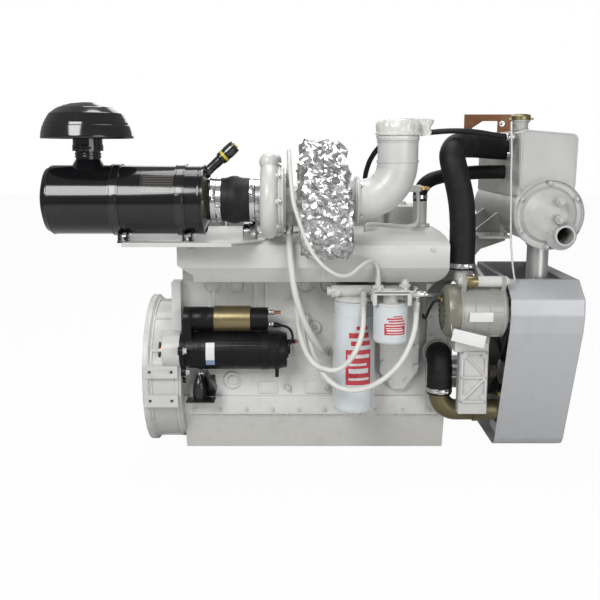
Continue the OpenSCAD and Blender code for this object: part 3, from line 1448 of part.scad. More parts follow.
// Alternator bracket: a post and cross plate below, a spacer tube and a strap above
module alternator_bracket() {
    post_x = front_x + 15;
    foot_top = alt_z - alt_r - 18;
    color(paint) {
        translate([post_x, -alt_side + 3, -70]) cube([80, 42, foot_top + 70]);
        translate([front_x, -alt_side + 3, foot_top - 28]) cube([15 + overrun, alt_side - 100, 28]);
        translate([alt_x + alt_cap_len + 2 + ear_t, tube_place[0], tube_place[1]]) difference() {
            bar_x(tube_r, alt_len - alt_cap_len - 2 * ear_t - 8);
            translate([-overrun, 0, 0]) bar_x(8, alt_len);
        }
        translate([949, 0, 0]) end_profile(10) polygon([
            [tube_place[0] + 8, tube_place[1] - 6], [tube_place[0] + 4, tube_place[1] + 12],
            [-head_side - 40, deck_height + 30], [-head_side - 40, deck_height + 6]]);
    }
}

// Water pump body on the gear housing
module water_pump() {
    color(paint) translate([front_x, pump_place[0], pump_place[1]]) difference() {
        union() {
            bar_x(48, 14);
            bar_x(43, 46);
            bar_x(24, belt_reach - 8);
        }
        translate([6, 0, 0]) bar_x(36, 34);
        bar_x(axle_r + run_clear, belt_reach);
    }
}

// Water pump shaft with its impeller and pulley
module water_pump_pulley() {
    color(dark_metal) translate([0, pump_place[0], pump_place[1]]) {
        translate([front_x + 8, 0, 0]) bar_x(axle_r, belt_reach + pulley_w - 4);
        translate([front_x + 9, 0, 0]) {
            bar_x(33, 6);
            for (i = [0:5]) rotate([i * 60, 0, 0]) translate([0, 10, -2]) cube([24, 23, 4]);
        }
        translate([belt_x, 0, 0]) pulley(pump_pulley_r, axle_r - overrun);
    }
}

// The belt's outline round the three driven pulleys, standing off their faces by a margin
module belt_outline(margin) {
    hull() {
        circle(r = crank_pulley_r + margin);
        translate(pump_place) circle(r = pump_pulley_r + margin);
        translate(alt_place) circle(r = alt_pulley_r + margin, $fn = 48);
    }
}

// Flat drive belt
module drive_belt() {
    color(black) translate([belt_x + (pulley_w - belt_w) / 2, 0, 0]) end_profile(belt_w) difference() {
        belt_outline(belt_t + seat_clear);
        belt_outline(seat_clear);
    }
}

// Tensioner arm with its pulley pin
module tensioner_arm() {
    along = tension_place - pivot_place;
    color(dark_metal) translate([belt_x - arm_gap - arm_t, 0, 0]) difference() {
        union() {
            end_profile(arm_t) {
                translate(pivot_place) circle(r = pivot_r + 12);
                translate(tension_place) circle(r = axle_r + 10);
                translate(pivot_place) rotate(atan2(along[1], along[0]))
                    translate([0, -axle_r - 4]) square([norm(along), 2 * axle_r + 8]);
            }
            translate([arm_t - overrun, tension_place[0], tension_place[1]])
                bar_x(axle_r, arm_gap + pulley_w + 2 + overrun);
        }
        translate([-overrun, pivot_place[0], pivot_place[1]])
            bar_x(pivot_r + run_clear, arm_t + 2 * overrun);
    }
}

// Smooth pulley that presses on the belt's back
module tensioner_pulley() {
    color(steel) translate([belt_x + 3, tension_place[0], tension_place[1]])
        lathe_x([[axle_r + run_clear, 0], [tension_r, 0], [tension_r, pulley_w - 6],
            [axle_r + run_clear, pulley_w - 6]]);
}

// Outline of the tank's end, leaning a little, drawn in by a margin
module tank_outline(margin) {
    polygon([[tank_x + margin, tank_low], [tank_x + margin, tank_top - 8 - margin],
        [tank_x + 10 + margin, tank_top - margin],
        [tank_x + tank_w - 12 - margin, tank_top - tank_lean - margin],
        [tank_x + tank_w - margin, tank_top - tank_lean - 12 - margin],
        [tank_x + tank_w - 2 - margin, tank_low]]);
}

// Expansion tank over the heat exchanger's drum, with the brackets that carry them
module expansion_tank() {
    y = tank_y;
    w = tank_wall;
    color(sheet_grey) {
        difference() {
            union() {
                translate([0, y + tank_len, 0]) side_profile(tank_len) tank_outline(0);
                translate([exchanger_x, y, exchanger_z]) bar_y(exchanger_r, tank_len);
                translate([exchanger_x, y - 8, exchanger_z]) bar_y(exchanger_dia / 2, 18);
                translate([pipe_rise_x, pipe_y, exchanger_z - exchanger_r - 4])
                    cylinder(r = pipe_r + 4, h = 30);
                translate([filler_x, filler_y, tank_top - 12]) cylinder(r = filler_r, h = filler_h + 12);
                translate([filler_x, filler_y, tank_top + filler_h - 4])
                    cylinder(r = filler_r + 4, h = 4);
            }
            translate([0, y + tank_len - w, 0]) side_profile(tank_len - 2 * w) tank_outline(w);
            translate([exchanger_x, y - 8 - overrun, exchanger_z]) bar_y(exchanger_r - w, tank_len);
            translate([filler_x, filler_y, tank_top - 30])
                cylinder(r = filler_r - filler_wall, h = filler_h + 30 + overrun);
        }
        difference() {
            union() {
                for (side = [-50, rail_side - 10]) translate([0, side + 10, 0]) side_profile(10)
                    polygon([[case_x + 8, 240], [front_x, 240], [exchanger_x - 132, table_z - 45],
                        [exchanger_x - 60, table_z - 20], [exchanger_x - 40, exchanger_z - 40],
                        [exchanger_x - 60, exchanger_z + 10], [exchanger_x - 142, table_z + 20],
                        [exchanger_x - 172, table_z - 30]]);
                translate([exchanger_x - 167, -185, table_z]) cube([95, 370, plate_thick]);
            }
            translate([exchanger_x, y, exchanger_z]) bar_y(exchanger_r - w, tank_len);
        }
        translate([0, 66, 0]) side_profile(6) polygon([[tank_x - 96, tank_top - 72],
            [tank_x - 72, tank_top - 72], [tank_x - 72, tank_top + 13],
            [tank_x - 40, tank_top + 34], [tank_x + 6, tank_top + 34], [tank_x + 6, tank_top - 20],
            [tank_x + 60, tank_top - 20], [tank_x + 106, tank_top + 34], [tank_x + 106, tank_top + 54],
            [tank_x - 96, tank_top + 54]]);
    }
}

// Domed end cover of the heat exchanger with its stub and plugs
module heat_exchanger_cover() {
    r = exchanger_dia / 2;
    stub = [34, 62, -53];
    color(sheet_grey) translate([exchanger_x, tank_y - 8, exchanger_z]) difference() {
        union() {
            lathe_y([[0, 0], [r, 0], [r, cover_flange], [r - 15, cover_flange],
                [r - 24, cover_flange + 12], [r - 48, cover_flange + dome_h - 4],
                [0, cover_flange + dome_h]]);
            translate([stub[0], -stub[1], stub[2]]) bar_y(stub_dia / 2, stub_len + overrun);
            translate([stub[0], stub_len - stub[1], stub[2]])
                bar_y(stub_dia / 2 + stub_collar, stub[1] - stub_len - cover_flange);
            for (z = [34, -14]) translate([20, -cover_flange - dome_h - 4, z]) bar_y(9, 16);
        }
        lathe_y([[0, -overrun], [r - 24, -overrun], [r - 30, cover_flange + 8],
            [r - 54, cover_flange + dome_h - 10], [0, cover_flange + dome_h - 6]]);
        translate([stub[0], -stub[1] - overrun, stub[2]]) bar_y(stub_dia / 2 - 4.5, stub[1] + 2 * overrun);
    }
}

// Pressure cap on the filler neck
module filler_cap() {
    color(brass) translate([filler_x, filler_y, tank_top + filler_h]) {
        cylinder(r = filler_r + 6, h = 9);
        translate([0, 0, 9]) cylinder(r = filler_r - 6, h = 5);
        for (a = [0, 180]) rotate(a) translate([filler_r - 2, -9, 0]) cube([15, 18, 6]);
        translate([0, 0, -12]) cylinder(r = filler_r - filler_wall - run_clear, h = 12 + overrun);
    }
}

// Tall, bypass, vent and elbow coolant hoses
module coolant_hoses() {
    color(black) {
        tube(tall_route, tall_hose_dia / 2, 16);
        tube(bypass_route, bypass_r, 12);
        tube(vent_route, vent_r, 8);
        translate([pipe_start_x, pipe_y + pipe_bend, elbow_z]) rotate([0, 90, 0]) lower_bend();
        translate([pipe_start_x, pipe_y, pipe_z + pipe_bend])
            cylinder(r = elbow_hose_r, h = elbow_z - pipe_z - 2 * pipe_bend);
    }
}
module lower_bend() {
    translate([pipe_bend, 0, 0]) rotate([0, 0, 180])
        rotate_extrude(angle = 90) translate([pipe_bend, 0]) circle(r = elbow_hose_r);
}

// Zinc-plated pipe from the lower hose, under the belt and up to the heat exchanger
module lower_coolant_pipe() {
    low = pipe_z;
    top = exchanger_z - exchanger_r - 4;
    turn = 60;
    color(brass) {
        translate([pipe_start_x + pipe_bend, pipe_y, low + pipe_bend]) rotate([90, 0, 0])
            rotate([0, 0, 180]) rotate_extrude(angle = 90) translate([pipe_bend, 0]) circle(r = pipe_r);
        translate([pipe_start_x + pipe_bend, pipe_y, low])
            bar_x(pipe_r, pipe_rise_x - turn - pipe_start_x - pipe_bend);
        translate([pipe_rise_x - turn, pipe_y, low + turn]) rotate([90, 0, 0]) rotate([0, 0, -90])
            rotate_extrude(angle = 90) translate([turn, 0]) circle(r = pipe_r);
        translate([pipe_rise_x, pipe_y, low + turn]) cylinder(r = pipe_r, h = top - low - turn);
        translate([960, pipe_y, low]) bar_x(pipe_r + 2.5, 26);
    }
}

// Outline of the belt guard across the engine, drawn in by a margin
module guard_outline(m) {
    r = 40;
    polygon([[-guard_top_side + 60 + m, guard_top - m], [-guard_knee_side + 28 + m, guard_top - 30 - m / 2],
        [-guard_knee_side + 6 + m, guard_knee + 45], [-guard_knee_side + m, guard_knee],
        [-guard_knee_side + 8 + m, guard_knee - 50], [-guard_low_side + m, -guard_low + 26],
        [-guard_low_side + 12 + m, -guard_low + 8], [-guard_low_side + 30 + m, -guard_low + m],
        [guard_far - 70 - m, -guard_low + m], [guard_far - 20 - m, -guard_low + 40],
        [guard_far - m, guard_knee], [guard_far - r - m, guard_top - m]]);
}

// Sheet metal belt guard, open behind and above, with its two legs
module belt_guard() {
    t = guard_t;
    color(sheet_grey) {
        difference() {
            translate([guard_x, 0, 0]) end_profile(guard_len) guard_outline(0);
            translate([guard_x - overrun, 0, 0]) end_profile(guard_len - t + overrun) guard_outline(t);
            translate([guard_x + 11, -guard_top_side + 75, guard_top - 40])
                cube([150, guard_top_side - 75 + guard_far - 45, 60]);
        }
        for (side = [-1, 1]) {
            translate([front_x, side > 0 ? guard_far - 45 : -rail_side, -rail_drop])
                cube([guard_x + 8 - front_x, 25, 10]);
            translate([guard_x + 2, side > 0 ? guard_far - 45 : -rail_side, -152])
                cube([6, 25, 152 - rail_drop + 10]);
        }
        translate([guard_x + 2, -guard_low_side + t - 8, -152]) cube([6, guard_low_side - rail_side + 8, 32]);
    }
}

// A smooth run of points between two ends, drawn towards two leads
function swept(a, lead_a, lead_b, b, steps) = [for (i = [0:steps]) let (t = i / steps, u = 1 - t)
    u * u * u * a + 3 * u * u * t * lead_a + 3 * u * t * t * lead_b + t * t * t * b];

// Fuel injection pump on the gear housing's far side, with its six lines and injectors
module fuel_pump() {
    y = cam_y + gear_module * (cam_teeth / 2 + 1) + 30;
    color(paint) {
        translate([case_x - 14, y - 12, 10]) cube([14, 72, 110]);
        translate([case_x - 180, y - 4, 20]) cube([168, 58, 60]);
        for (i = [0:5]) translate([case_x - 165 + i * 24, y + 24, 78]) cylinder(r = 8, h = 28);
        translate([case_x - 214, y + 25, 52]) bar_x(38, 36);
        for (i = [0:cyl_count - 1]) {
            outlet = [case_x - 165 + i * 24, y + 24, 104];
            tip = [cyl_x(i), injector_y, head_top + injector_h];
            translate([tip[0], tip[1], head_top]) {
                cylinder(r = injector_r, h = injector_h * 0.6);
                cylinder(r = injector_r * 0.6, h = injector_h + line_r);
            }
            tube(swept(outlet, outlet + [0, 0, line_lead], tip + [0, 1.6 * head_side, line_lead / 2],
                tip, 16), line_r, 8);
        }
    }
}

cylinder_block();
cylinder_head();
valve_covers();
charge_air_pipe();
exhaust_manifold();
flywheel_housing();
oil_pan();
gear_housing();
oil_cooler_cover();
casting_bolts();
crankshaft();
flywheel();
damper_pulley();
camshaft();
outer_pistons();
middle_pistons();
inner_pistons();
compressor_housing();
bearing_housing();
turbine_housing();
turbo_rotor();
foil_wrap();
exhaust_elbow();
outlet_film();
air_filter_body();
air_filter_element();
rain_cap();
band_clamps();
filter_shelf();
inlet_hose();
restriction_indicator();
indicator_button();
starter_motor();
starter_solenoid();
starter_armature();
starter_pinion();
stop_solenoid();
oil_filter();
filter_head();
coolant_filter();
shutoff_valve();
oil_drain_hose();
oil_feed_hose();
filter_supply_hose();
filter_return_hose();
alternator_body();
alternator_rotor();
alternator_bracket();
water_pump();
water_pump_pulley();
drive_belt();
tensioner_arm();
tensioner_pulley();
expansion_tank();
heat_exchanger_cover();
filler_cap();
coolant_hoses();
lower_coolant_pipe();
belt_guard();
fuel_pump();
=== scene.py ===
"""Looks of a turbocharged marine diesel engine: castings, hoses, foil, filters and their finishes.

The engine's length lies along X with the flywheel near 0, the camera looks along Y, and Z is up from
the crankshaft's axis. Places, radii and rounded edges given to the shape helpers are in millimetres. What
Blender holds, and what the settings give, is in metres.
"""

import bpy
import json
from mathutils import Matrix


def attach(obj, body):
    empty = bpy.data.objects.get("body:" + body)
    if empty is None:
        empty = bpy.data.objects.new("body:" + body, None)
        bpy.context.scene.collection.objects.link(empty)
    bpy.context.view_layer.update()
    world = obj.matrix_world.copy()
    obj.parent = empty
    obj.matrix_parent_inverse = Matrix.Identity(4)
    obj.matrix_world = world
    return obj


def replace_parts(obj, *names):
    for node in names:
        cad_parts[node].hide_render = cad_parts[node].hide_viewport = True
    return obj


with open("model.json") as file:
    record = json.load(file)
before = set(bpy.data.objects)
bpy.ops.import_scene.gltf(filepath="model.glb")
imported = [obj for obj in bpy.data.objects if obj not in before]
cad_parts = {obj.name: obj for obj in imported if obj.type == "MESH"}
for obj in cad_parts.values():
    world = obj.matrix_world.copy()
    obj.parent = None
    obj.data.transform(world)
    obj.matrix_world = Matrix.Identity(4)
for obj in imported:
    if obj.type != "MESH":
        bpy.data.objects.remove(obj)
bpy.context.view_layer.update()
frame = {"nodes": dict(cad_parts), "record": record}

import json
import math
import random

import bpy
import bmesh
from mathutils import Matrix, Vector, noise
from mathutils.geometry import convex_hull_2d, interpolate_bezier

bl_info = {
    "name": "Marine diesel engine looks",
    "version": (1, 0, 0),
    "blender": (4, 5, 0),
    "location": "3D View > Sidebar > Engine",
    "description": "Builds the hoses, foil, labels, fasteners and finishes round the engine's frame",
    "category": "Object",
}

MM = 0.001
ORIGIN, X, Y, Z = Vector(), Vector((1, 0, 0)), Vector((0, 1, 0)), Vector((0, 0, 1))

# Slots of the CAD nodes
SLOTS = {p["node"]: p["material_slot"] for p in frame["record"]["subparts"]}

# Centres that the trim is turned about or placed from: shafts lie along X, cans along Z and the
# exchanger along Y. FILTER_HEAD is on the line of the filter head's bar
TURBO = Vector((0, -300, 537))
RAIN_CAP = Vector((-109, -300, 700))
FILTER_STEM = Vector((-109, -300, 537))
ACTUATOR = Vector((300, -262, 445))
OUTLET = Vector((716, -300, 703))
ELBOW_BEND = Vector((616, -300, 637))
STARTER = Vector((110, -185.7, 95.4))
SOLENOID = Vector((146, -189.7, 188.7))
STOP_SOLENOID = Vector((160, -176, 0))
OIL_FILTER = Vector((609, -241, 253))
COOLANT_FILTER = Vector((702, -330, 257))
VENT_KNOB = Vector((744, -300, 298))
FILTER_HEAD = Vector((0, -262, 281))
FILTER_VALVE = Vector((753, -330, 284))
ALTERNATOR = Vector((850, -280, 230))
BRACKET_BUSH = Vector((907, -318, 317))
EXCHANGER = Vector((1132, -280, 495))
RAW_WATER_STUB = Vector((1166, -332, 442))
FILLER_NECK = Vector((1078, -150, 722))
VENT_PORT = Vector((1030, -216, 704))
PUMP_INLET = Vector((862, -201, -24))
PUMP_OUTLET = Vector((862, -151, 80))
PIPE_PLUG = Vector((1040, -201, -38))
RAIL_END = Vector((794, -185, 562))

# The foil in metres: the circles (y, z, radius) it is drawn round, its middle, its two sides along the
# engine, its lowest point and its height
FOIL_CIRCLES = ((-0.300, 0.636, 0.063), (-0.300, 0.537, 0.114), (-0.352, 0.428, 0.052))
FOIL_MIDDLE = Vector((-0.305, 0.54))
FOIL_LEFT, FOIL_RIGHT, FOIL_LOW, FOIL_HEIGHT = 0.450, 0.590, 0.373, 0.33

# The camera and the floor, in metres and degrees
CAMERA_PLACE, CAMERA_PITCH = (0.456, -2.6, 0.6683), 80
FLOOR_LEVEL = -0.2256

# Routes of the white hoses: the turbocharger's oil drain and feed, and the coolant filter's two
DRAIN = [(427, -300, 470), (427, -300, 454), (427.3, -302, 437), (428, -306, 420), (430, -313, 385),
         (434, -318, 345), (440, -316, 300), (450, -306, 255), (464, -290, 210), (481, -268, 168),
         (499, -242, 132), (515, -216, 106), (528, -188, 87), (536, -162, 82), (536, -145, 82)]
FEED = [(426, -300, 606), (426, -300, 622), (426, -303.5, 639), (426, -314, 654.5), (426, -331, 665),
        (427, -351, 668), (428, -372, 662), (429, -389, 648), (430, -401, 630), (432, -414, 604),
        (435, -426, 572), (440, -435, 536), (452, -440, 496), (466, -438, 456), (482, -438, 420),
        (504, -434, 388), (532, -426, 362), (564, -412, 346), (590, -392, 348), (617, -362, 364),
        (641.7, -333, 375), (655.9, -315.5, 371), (666.2, -304, 356), (670, -300, 336), (670, -300, 316)]
SUPPLY = [(631, -300, 266), (631, -300, 248), (631, -306, 220), (628, -318, 186), (618, -332, 150),
          (602, -342, 118), (580, -346, 92), (554, -344, 76), (528, -336, 76), (502, -334, 86),
          (481, -318, 106), (465, -290, 133), (455, -256, 163), (449, -216, 194), (447, -178, 228),
          (447, -160, 240), (447, -145, 240)]
RETURN = [(772, -330, 258), (772, -330, 240), (771, -334, 210), (765, -340, 176), (752, -346, 140),
          (732, -352, 104), (706, -356, 74), (676, -360, 50), (644, -364, 34), (610, -366, 26),
          (577, -364, 28), (546, -352, 40), (521, -330, 60), (502, -300, 86), (488, -264, 114),
          (479, -226, 142), (475, -190, 168), (474, -162, 182), (474, -145, 182)]

# Routes of the black coolant hoses: the tall one, the bypass, the vent and the one below the pump
TALL = [(909, -236, 340), (909, -236, 385), (909, -236, 435), (907, -236, 485), (901, -236, 535),
        (891, -236, 580), (881, -234, 618), (876, -224, 650), (886, -198, 672), (910, -164, 681),
        (944, -130, 683), (984, -106, 681), (1022, -92, 678), (1040, -90, 677), (1056, -90, 677)]
BYPASS = [(800, -150, 525), (800, -150, 546), (808, -148, 566), (826, -144, 582), (856, -134, 592),
          (900, -114, 599), (950, -92, 603), (1000, -78, 605), (1035, -74, 605), (1056, -74, 605)]
VENT = [(650, -20, 505), (650, -20, 560), (655, -32, 610), (672, -58, 655), (704, -100, 690),
        (750, -148, 708), (810, -190, 716), (870, -215, 720), (930, -222, 718), (1000, -218, 708),
        (1035, -216, 704), (1056, -216, 704)]
LOWER = [(862, -151, 80), (862, -165, 80), (862, -181, 74), (862, -195, 59), (862, -201, 40), (862, -201, 10),
         (862, -201, -30)]


# Settings that a user would change
def colour(**values):
    """A colour setting."""
    return bpy.props.FloatVectorProperty(subtype="COLOR", size=3, min=0, max=1, **values)


class EngineColours(bpy.types.PropertyGroup):
    """Paint and rubber colours"""
    paint: colour(name="Cast paint", description="Warm grey-white engine enamel", default=(0.57, 0.57, 0.555))
    sheet: colour(name="Sheet metal", description="Silver-grey belt guard paint", default=(0.47, 0.48, 0.50))
    tank: colour(name="Tank paint", description="Grey expansion tank enamel", default=(0.46, 0.46, 0.455))
    rubber: colour(name="Rubber", description="Black coolant hose rubber", default=(0.007, 0.007, 0.008))
    sleeve: colour(name="Hose sleeve", description="White hose sleeves", default=(0.66, 0.66, 0.63))
    label: colour(name="Filter bars", description="Plain red on the filters", default=(0.50, 0.03, 0.045))


class EngineSizes(bpy.types.PropertyGroup):
    """Sizes of the detail that the finishes add"""
    cast_edge: bpy.props.FloatProperty(name="Cast edge", description="Rounding of the castings' edges",
        unit="LENGTH", min=0.0005, max=0.005, default=0.0022)
    guard_fold: bpy.props.FloatProperty(name="Guard fold", description="Rounding of the belt guard's folds",
        unit="LENGTH", min=0.002, max=0.016, default=0.0125)
    crumple: bpy.props.FloatProperty(name="Foil crumple", description="Depth of the foil's folds",
        unit="LENGTH", min=0.002, max=0.02, default=0.011)
    camera_lens: bpy.props.FloatProperty(name="Camera lens", description="Focal length of the camera",
        min=20, max=120, default=51)


# Selection and finishing helpers
def alone(obj=None):
    """Leaves object mode on and only this object selected."""
    if bpy.context.object and bpy.context.object.mode != "OBJECT":
        bpy.ops.object.mode_set(mode="OBJECT")
    bpy.ops.object.select_all(action="DESELECT")
    if obj is not None:
        bpy.context.view_layer.objects.active = obj
        obj.select_set(True)
    return obj


def edit(obj, *steps):
    """Runs edit-mode steps on everything in one object."""
    alone(obj)
    bpy.ops.object.mode_set(mode="EDIT")
    bpy.ops.mesh.select_all(action="SELECT")
    for step in steps:
        step()
    bpy.ops.object.mode_set(mode="OBJECT")
    return obj


def place(obj):
    """Moves the object's place into its mesh."""
    alone(obj)
    bpy.ops.object.transform_apply(location=True, rotation=True, scale=True)
    return obj


def linked(name, data):
    """A new object for a mesh or a curve."""
    obj = bpy.data.objects.new(name, data)
    bpy.context.scene.collection.objects.link(obj)
    return obj


def joined(parts):
    """Joins several meshes into the first one."""
    alone(parts[0])
    for part in parts:
        part.select_set(True)
    if len(parts) > 1:
        bpy.ops.object.join()
    return bpy.context.view_layer.objects.active


def paint_mesh(mesh, material):
    """Gives every face of a mesh one finish."""
    mesh.materials.clear()
    mesh.materials.append(MATERIALS[material])
    for polygon in mesh.polygons:
        polygon.material_index = 0


def piece(name, material, *parts, body="engine", slot=None, angle=32, outward=True):
    """Joins parts into one named piece with its finish, and lets it ride on its body."""
    obj = place(joined(parts))
    if outward:
        edit(obj, lambda: bpy.ops.mesh.remove_doubles(threshold=1e-6),
             lambda: bpy.ops.mesh.normals_make_consistent(inside=False))
    alone(obj)
    bpy.ops.object.shade_smooth_by_angle(angle=math.radians(angle))
    obj.name = obj.data.name = name
    paint_mesh(obj.data, material)
    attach(obj, body)
    return obj


def modify(obj, kind, **values):
    """Adds one modifier and applies it."""
    alone(obj)
    modifier = obj.modifiers.new(kind.title(), kind)
    for key, value in values.items():
        setattr(modifier, key, value)
    bpy.ops.object.modifier_apply(modifier=modifier.name)
    return obj


def bevelled(obj, width, segments=2, angle=35, keep=None):
    """Rounds an object's sharp edges by a width in metres, or only those of them that are kept."""
    limit = {"limit_method": "ANGLE", "angle_limit": math.radians(angle)}
    if keep:
        mesh = bmesh.new()
        mesh.from_mesh(obj.data)
        layer = mesh.edges.layers.float.new("bevel_weight_edge")
        for side in mesh.edges:
            if len(side.link_faces) == 2 and side.calc_face_angle(0) > math.radians(angle):
                side[layer] = float(keep([v.co for v in side.verts]))
        mesh.to_mesh(obj.data)
        mesh.free()
        limit = {"limit_method": "WEIGHT"}
    return modify(obj, "BEVEL", width=width, segments=segments, use_clamp_overlap=True, **limit)


def soft_copy(node, name, edge, material, angle=35, dissolve=0.4, keep=None, segments=2):
    """A merged copy of a CAD node with edges rounded in metres, which stands for it."""
    obj = linked(name, frame["nodes"][node].data.copy())
    edit(obj, lambda: bpy.ops.mesh.remove_doubles(threshold=1e-5),
         lambda: bpy.ops.mesh.dissolve_limited(angle_limit=math.radians(dissolve)))
    bevelled(obj, edge, segments, angle, keep)
    piece(name, material, obj, slot=SLOTS[node], angle=26, outward=False)
    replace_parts(obj, node)
    return obj


# Shapes
def tilted(degrees, axis):
    """A turn about an axis through the origin."""
    return Matrix.Rotation(math.radians(degrees), 4, axis)


def facing(direction):
    """A turn that points Z in a direction."""
    return Vector(direction).to_track_quat("Z", "Y").to_matrix().to_4x4()


def moved(obj, spot, turn=Matrix.Identity(4)):
    """Turns an object's mesh about the origin, and then moves it."""
    obj.data.transform(Matrix.Translation(Vector(spot) * MM) @ turn)
    return obj


def copies(obj, moves):
    """Copies an object's mesh to several places, and joins them all."""
    made = []
    for move in moves:
        made.append(linked(obj.name, obj.data.copy()))
        made[-1].data.transform(move)
    bpy.data.objects.remove(obj)
    return joined(made)


def every(count, start=0):
    """Equal angles round a circle."""
    return [start + k * 360 / count for k in range(count)]


def spun(obj, angles, centre=ORIGIN, axis=X):
    """Copies of a part that is modelled at the origin, turned round an axis."""
    return copies(obj, [Matrix.Translation(centre * MM) @ tilted(a, axis) for a in angles])


def around(centre, radius, angles, axis=X):
    """Places on a circle round an axis."""
    across, up = (side for side in (X, Y, Z) if side != axis)
    turns = [math.radians(a) for a in angles]
    return [Vector(centre) + (across * math.cos(a) + up * math.sin(a)) * radius for a in turns]


def box(low, high, edge=1.0):
    """A block between two corners, with rounded edges."""
    a, b = Vector(low) * MM, Vector(high) * MM
    alone()
    bpy.ops.mesh.primitive_cube_add(size=1, location=(a + b) / 2)
    obj = bpy.context.object
    obj.scale = b - a
    place(obj)
    return edit(obj, lambda: bpy.ops.mesh.bevel(offset=edge * MM, segments=2, affect="EDGES"))


def rod(start, end, radius, sides, edge=0.0, end_radius=None):
    """A round or many-sided bar between two points."""
    a, b = Vector(start) * MM, Vector(end) * MM
    alone()
    bpy.ops.mesh.primitive_cone_add(vertices=sides, radius1=radius * MM,
        radius2=(radius if end_radius is None else end_radius) * MM, depth=(b - a).length,
        location=(a + b) / 2, rotation=(b - a).to_track_quat("Z", "Y").to_euler())
    obj = place(bpy.context.object)
    return bevelled(obj, edge * MM, 2, 40) if edge else obj


def stud(start, axis, length, radius, sides, edge=0.0):
    """A round or many-sided bar from a point along an axis."""
    return rod(start, Vector(start) + axis * length, radius, sides, edge)


def hoop(start, width, inner, outer):
    """The outline of a plain band, for turned."""
    return [(start, inner), (start, outer), (start + width, outer), (start + width, inner), (start, inner)]


def bead(start, width, radius, rise, chamfer):
    """The outline of a raised rim with sloping sides, for turned."""
    end, top = start + width, radius + rise
    return [(start, radius), (start + chamfer, top), (end - chamfer, top), (end, radius)]


def turned(profile, centre, axis=X, steps=72, angle=360):
    """A turned piece: an outline of (station, radius) pairs, spun round an axis."""
    side = Y if axis == Z else Z
    centre = Vector(centre) * MM
    points = [centre + axis * (s * MM) + side * (r * MM) for s, r in profile]
    alone()
    bpy.ops.mesh.primitive_plane_add(size=MM, location=points[0])
    obj = place(bpy.context.object)
    bpy.ops.object.mode_set(mode="EDIT")
    bpy.ops.mesh.select_all(action="SELECT")
    bpy.ops.mesh.merge(type="CENTER")
    for a, b in zip(points, points[1:]):
        bpy.ops.mesh.extrude_region_move(TRANSFORM_OT_translate={"value": b - a})
    bpy.ops.mesh.select_all(action="SELECT")
    bpy.ops.mesh.spin(steps=steps, angle=math.radians(angle), center=centre, axis=axis)
    bpy.ops.mesh.select_all(action="SELECT")
    bpy.ops.mesh.remove_doubles(threshold=1e-6)
    bpy.ops.mesh.normals_make_consistent(inside=False)
    bpy.ops.object.mode_set(mode="OBJECT")
    return obj


def hex_bolts(places, direction, radius, height, washer=1.35):
    """Hexagon heads on round washers, all facing one way."""
    alone()
    bpy.ops.mesh.primitive_cylinder_add(vertices=6, radius=radius * MM, depth=height * 0.75 * MM,
                                        location=(0, 0, height * 0.58 * MM))
    head = place(bpy.context.object)
    edit(head, lambda: bpy.ops.mesh.bevel(offset=radius * 0.12 * MM, segments=2, affect="EDGES"))
    bpy.ops.mesh.primitive_cylinder_add(vertices=20, radius=radius * washer * MM, depth=height * 0.28 * MM,
                                        location=(0, 0, height * 0.14 * MM))
    bolt = joined([head, place(bpy.context.object)])
    random.seed(len(places))
    return copies(bolt, [Matrix.Translation(Vector(p) * MM) @ facing(direction)
                         @ Matrix.Rotation(random.uniform(0, 1), 4, "Z") for p in places])


def sweep(points, radius, name, smooth=True, resolution=8, rings=4):
    """A round tube along a route, as a curve through its points."""
    curve = bpy.data.curves.new(name, "CURVE")
    curve.dimensions = "3D"
    spline = curve.splines.new("BEZIER")
    spline.bezier_points.add(len(points) - 1)
    for knot, p in zip(spline.bezier_points, points):
        knot.co = Vector(p) * MM
        knot.handle_left_type = knot.handle_right_type = "AUTO" if smooth else "VECTOR"
    curve.resolution_u = rings
    curve.bevel_depth = radius * MM
    curve.bevel_resolution = resolution
    curve.use_fill_caps = True
    return linked(name, curve)


def tube(points, radius, **detail):
    """A round tube along a route, as a mesh."""
    alone(sweep(points, radius, "tube", **detail))
    bpy.ops.object.convert(target="MESH")
    return bpy.context.object


def centreline(obj):
    """Points along a curve as it is drawn, in metres."""
    knots = obj.data.splines[0].bezier_points
    line = [knots[0].co.copy()]
    for a, b in zip(knots, knots[1:]):
        line += interpolate_bezier(a.co, a.handle_right, b.handle_left, b.co, 9)[1:]
    return line


def worm_clamp(start, radius, tilt=0, axis=X, width=13):
    """A worm-drive clamp with its rimmed band, its housing, and its screw on the near side."""
    out, across = -Y, axis.cross(-Y)
    band = turned(hoop(0, width, radius, radius + 1.1), start, axis, 80)
    rims = [turned(hoop(s, 1.2, radius + 1.0, radius + 1.7), start, axis, 80) for s in (0.2, width - 1.4)]
    hub = Vector(start) + axis * width / 2 + out * (radius + 4.2)
    case = moved(box((-width * 0.52, -3.4, -9), (width * 0.52, 3.4, 9), 1.2), hub,
                 Matrix((axis, out, across)).transposed().to_4x4())
    line = hub + out * 0.5
    screw = rod(line - across * 15, line + across * 16, 3.4, 20, 0.4)
    head = rod(line + across * 12, line + across * 19, 5.6, 6, 0.6)
    return moved(moved(joined([band, *rims, case, screw, head]), -Vector(start)), start, tilted(tilt, axis))


# Node groups and materials
def wired(tree, kind, inputs=(), **settings):
    """A node with its settings, whose inputs are values or other nodes' outputs."""
    node = tree.nodes.new(kind)
    for key, value in settings.items():
        setattr(node, key, value)
    for key, value in dict(inputs).items():
        if isinstance(value, bpy.types.NodeSocket):
            tree.links.new(value, node.inputs[key])
        else:
            node.inputs[key].default_value = value
    return node


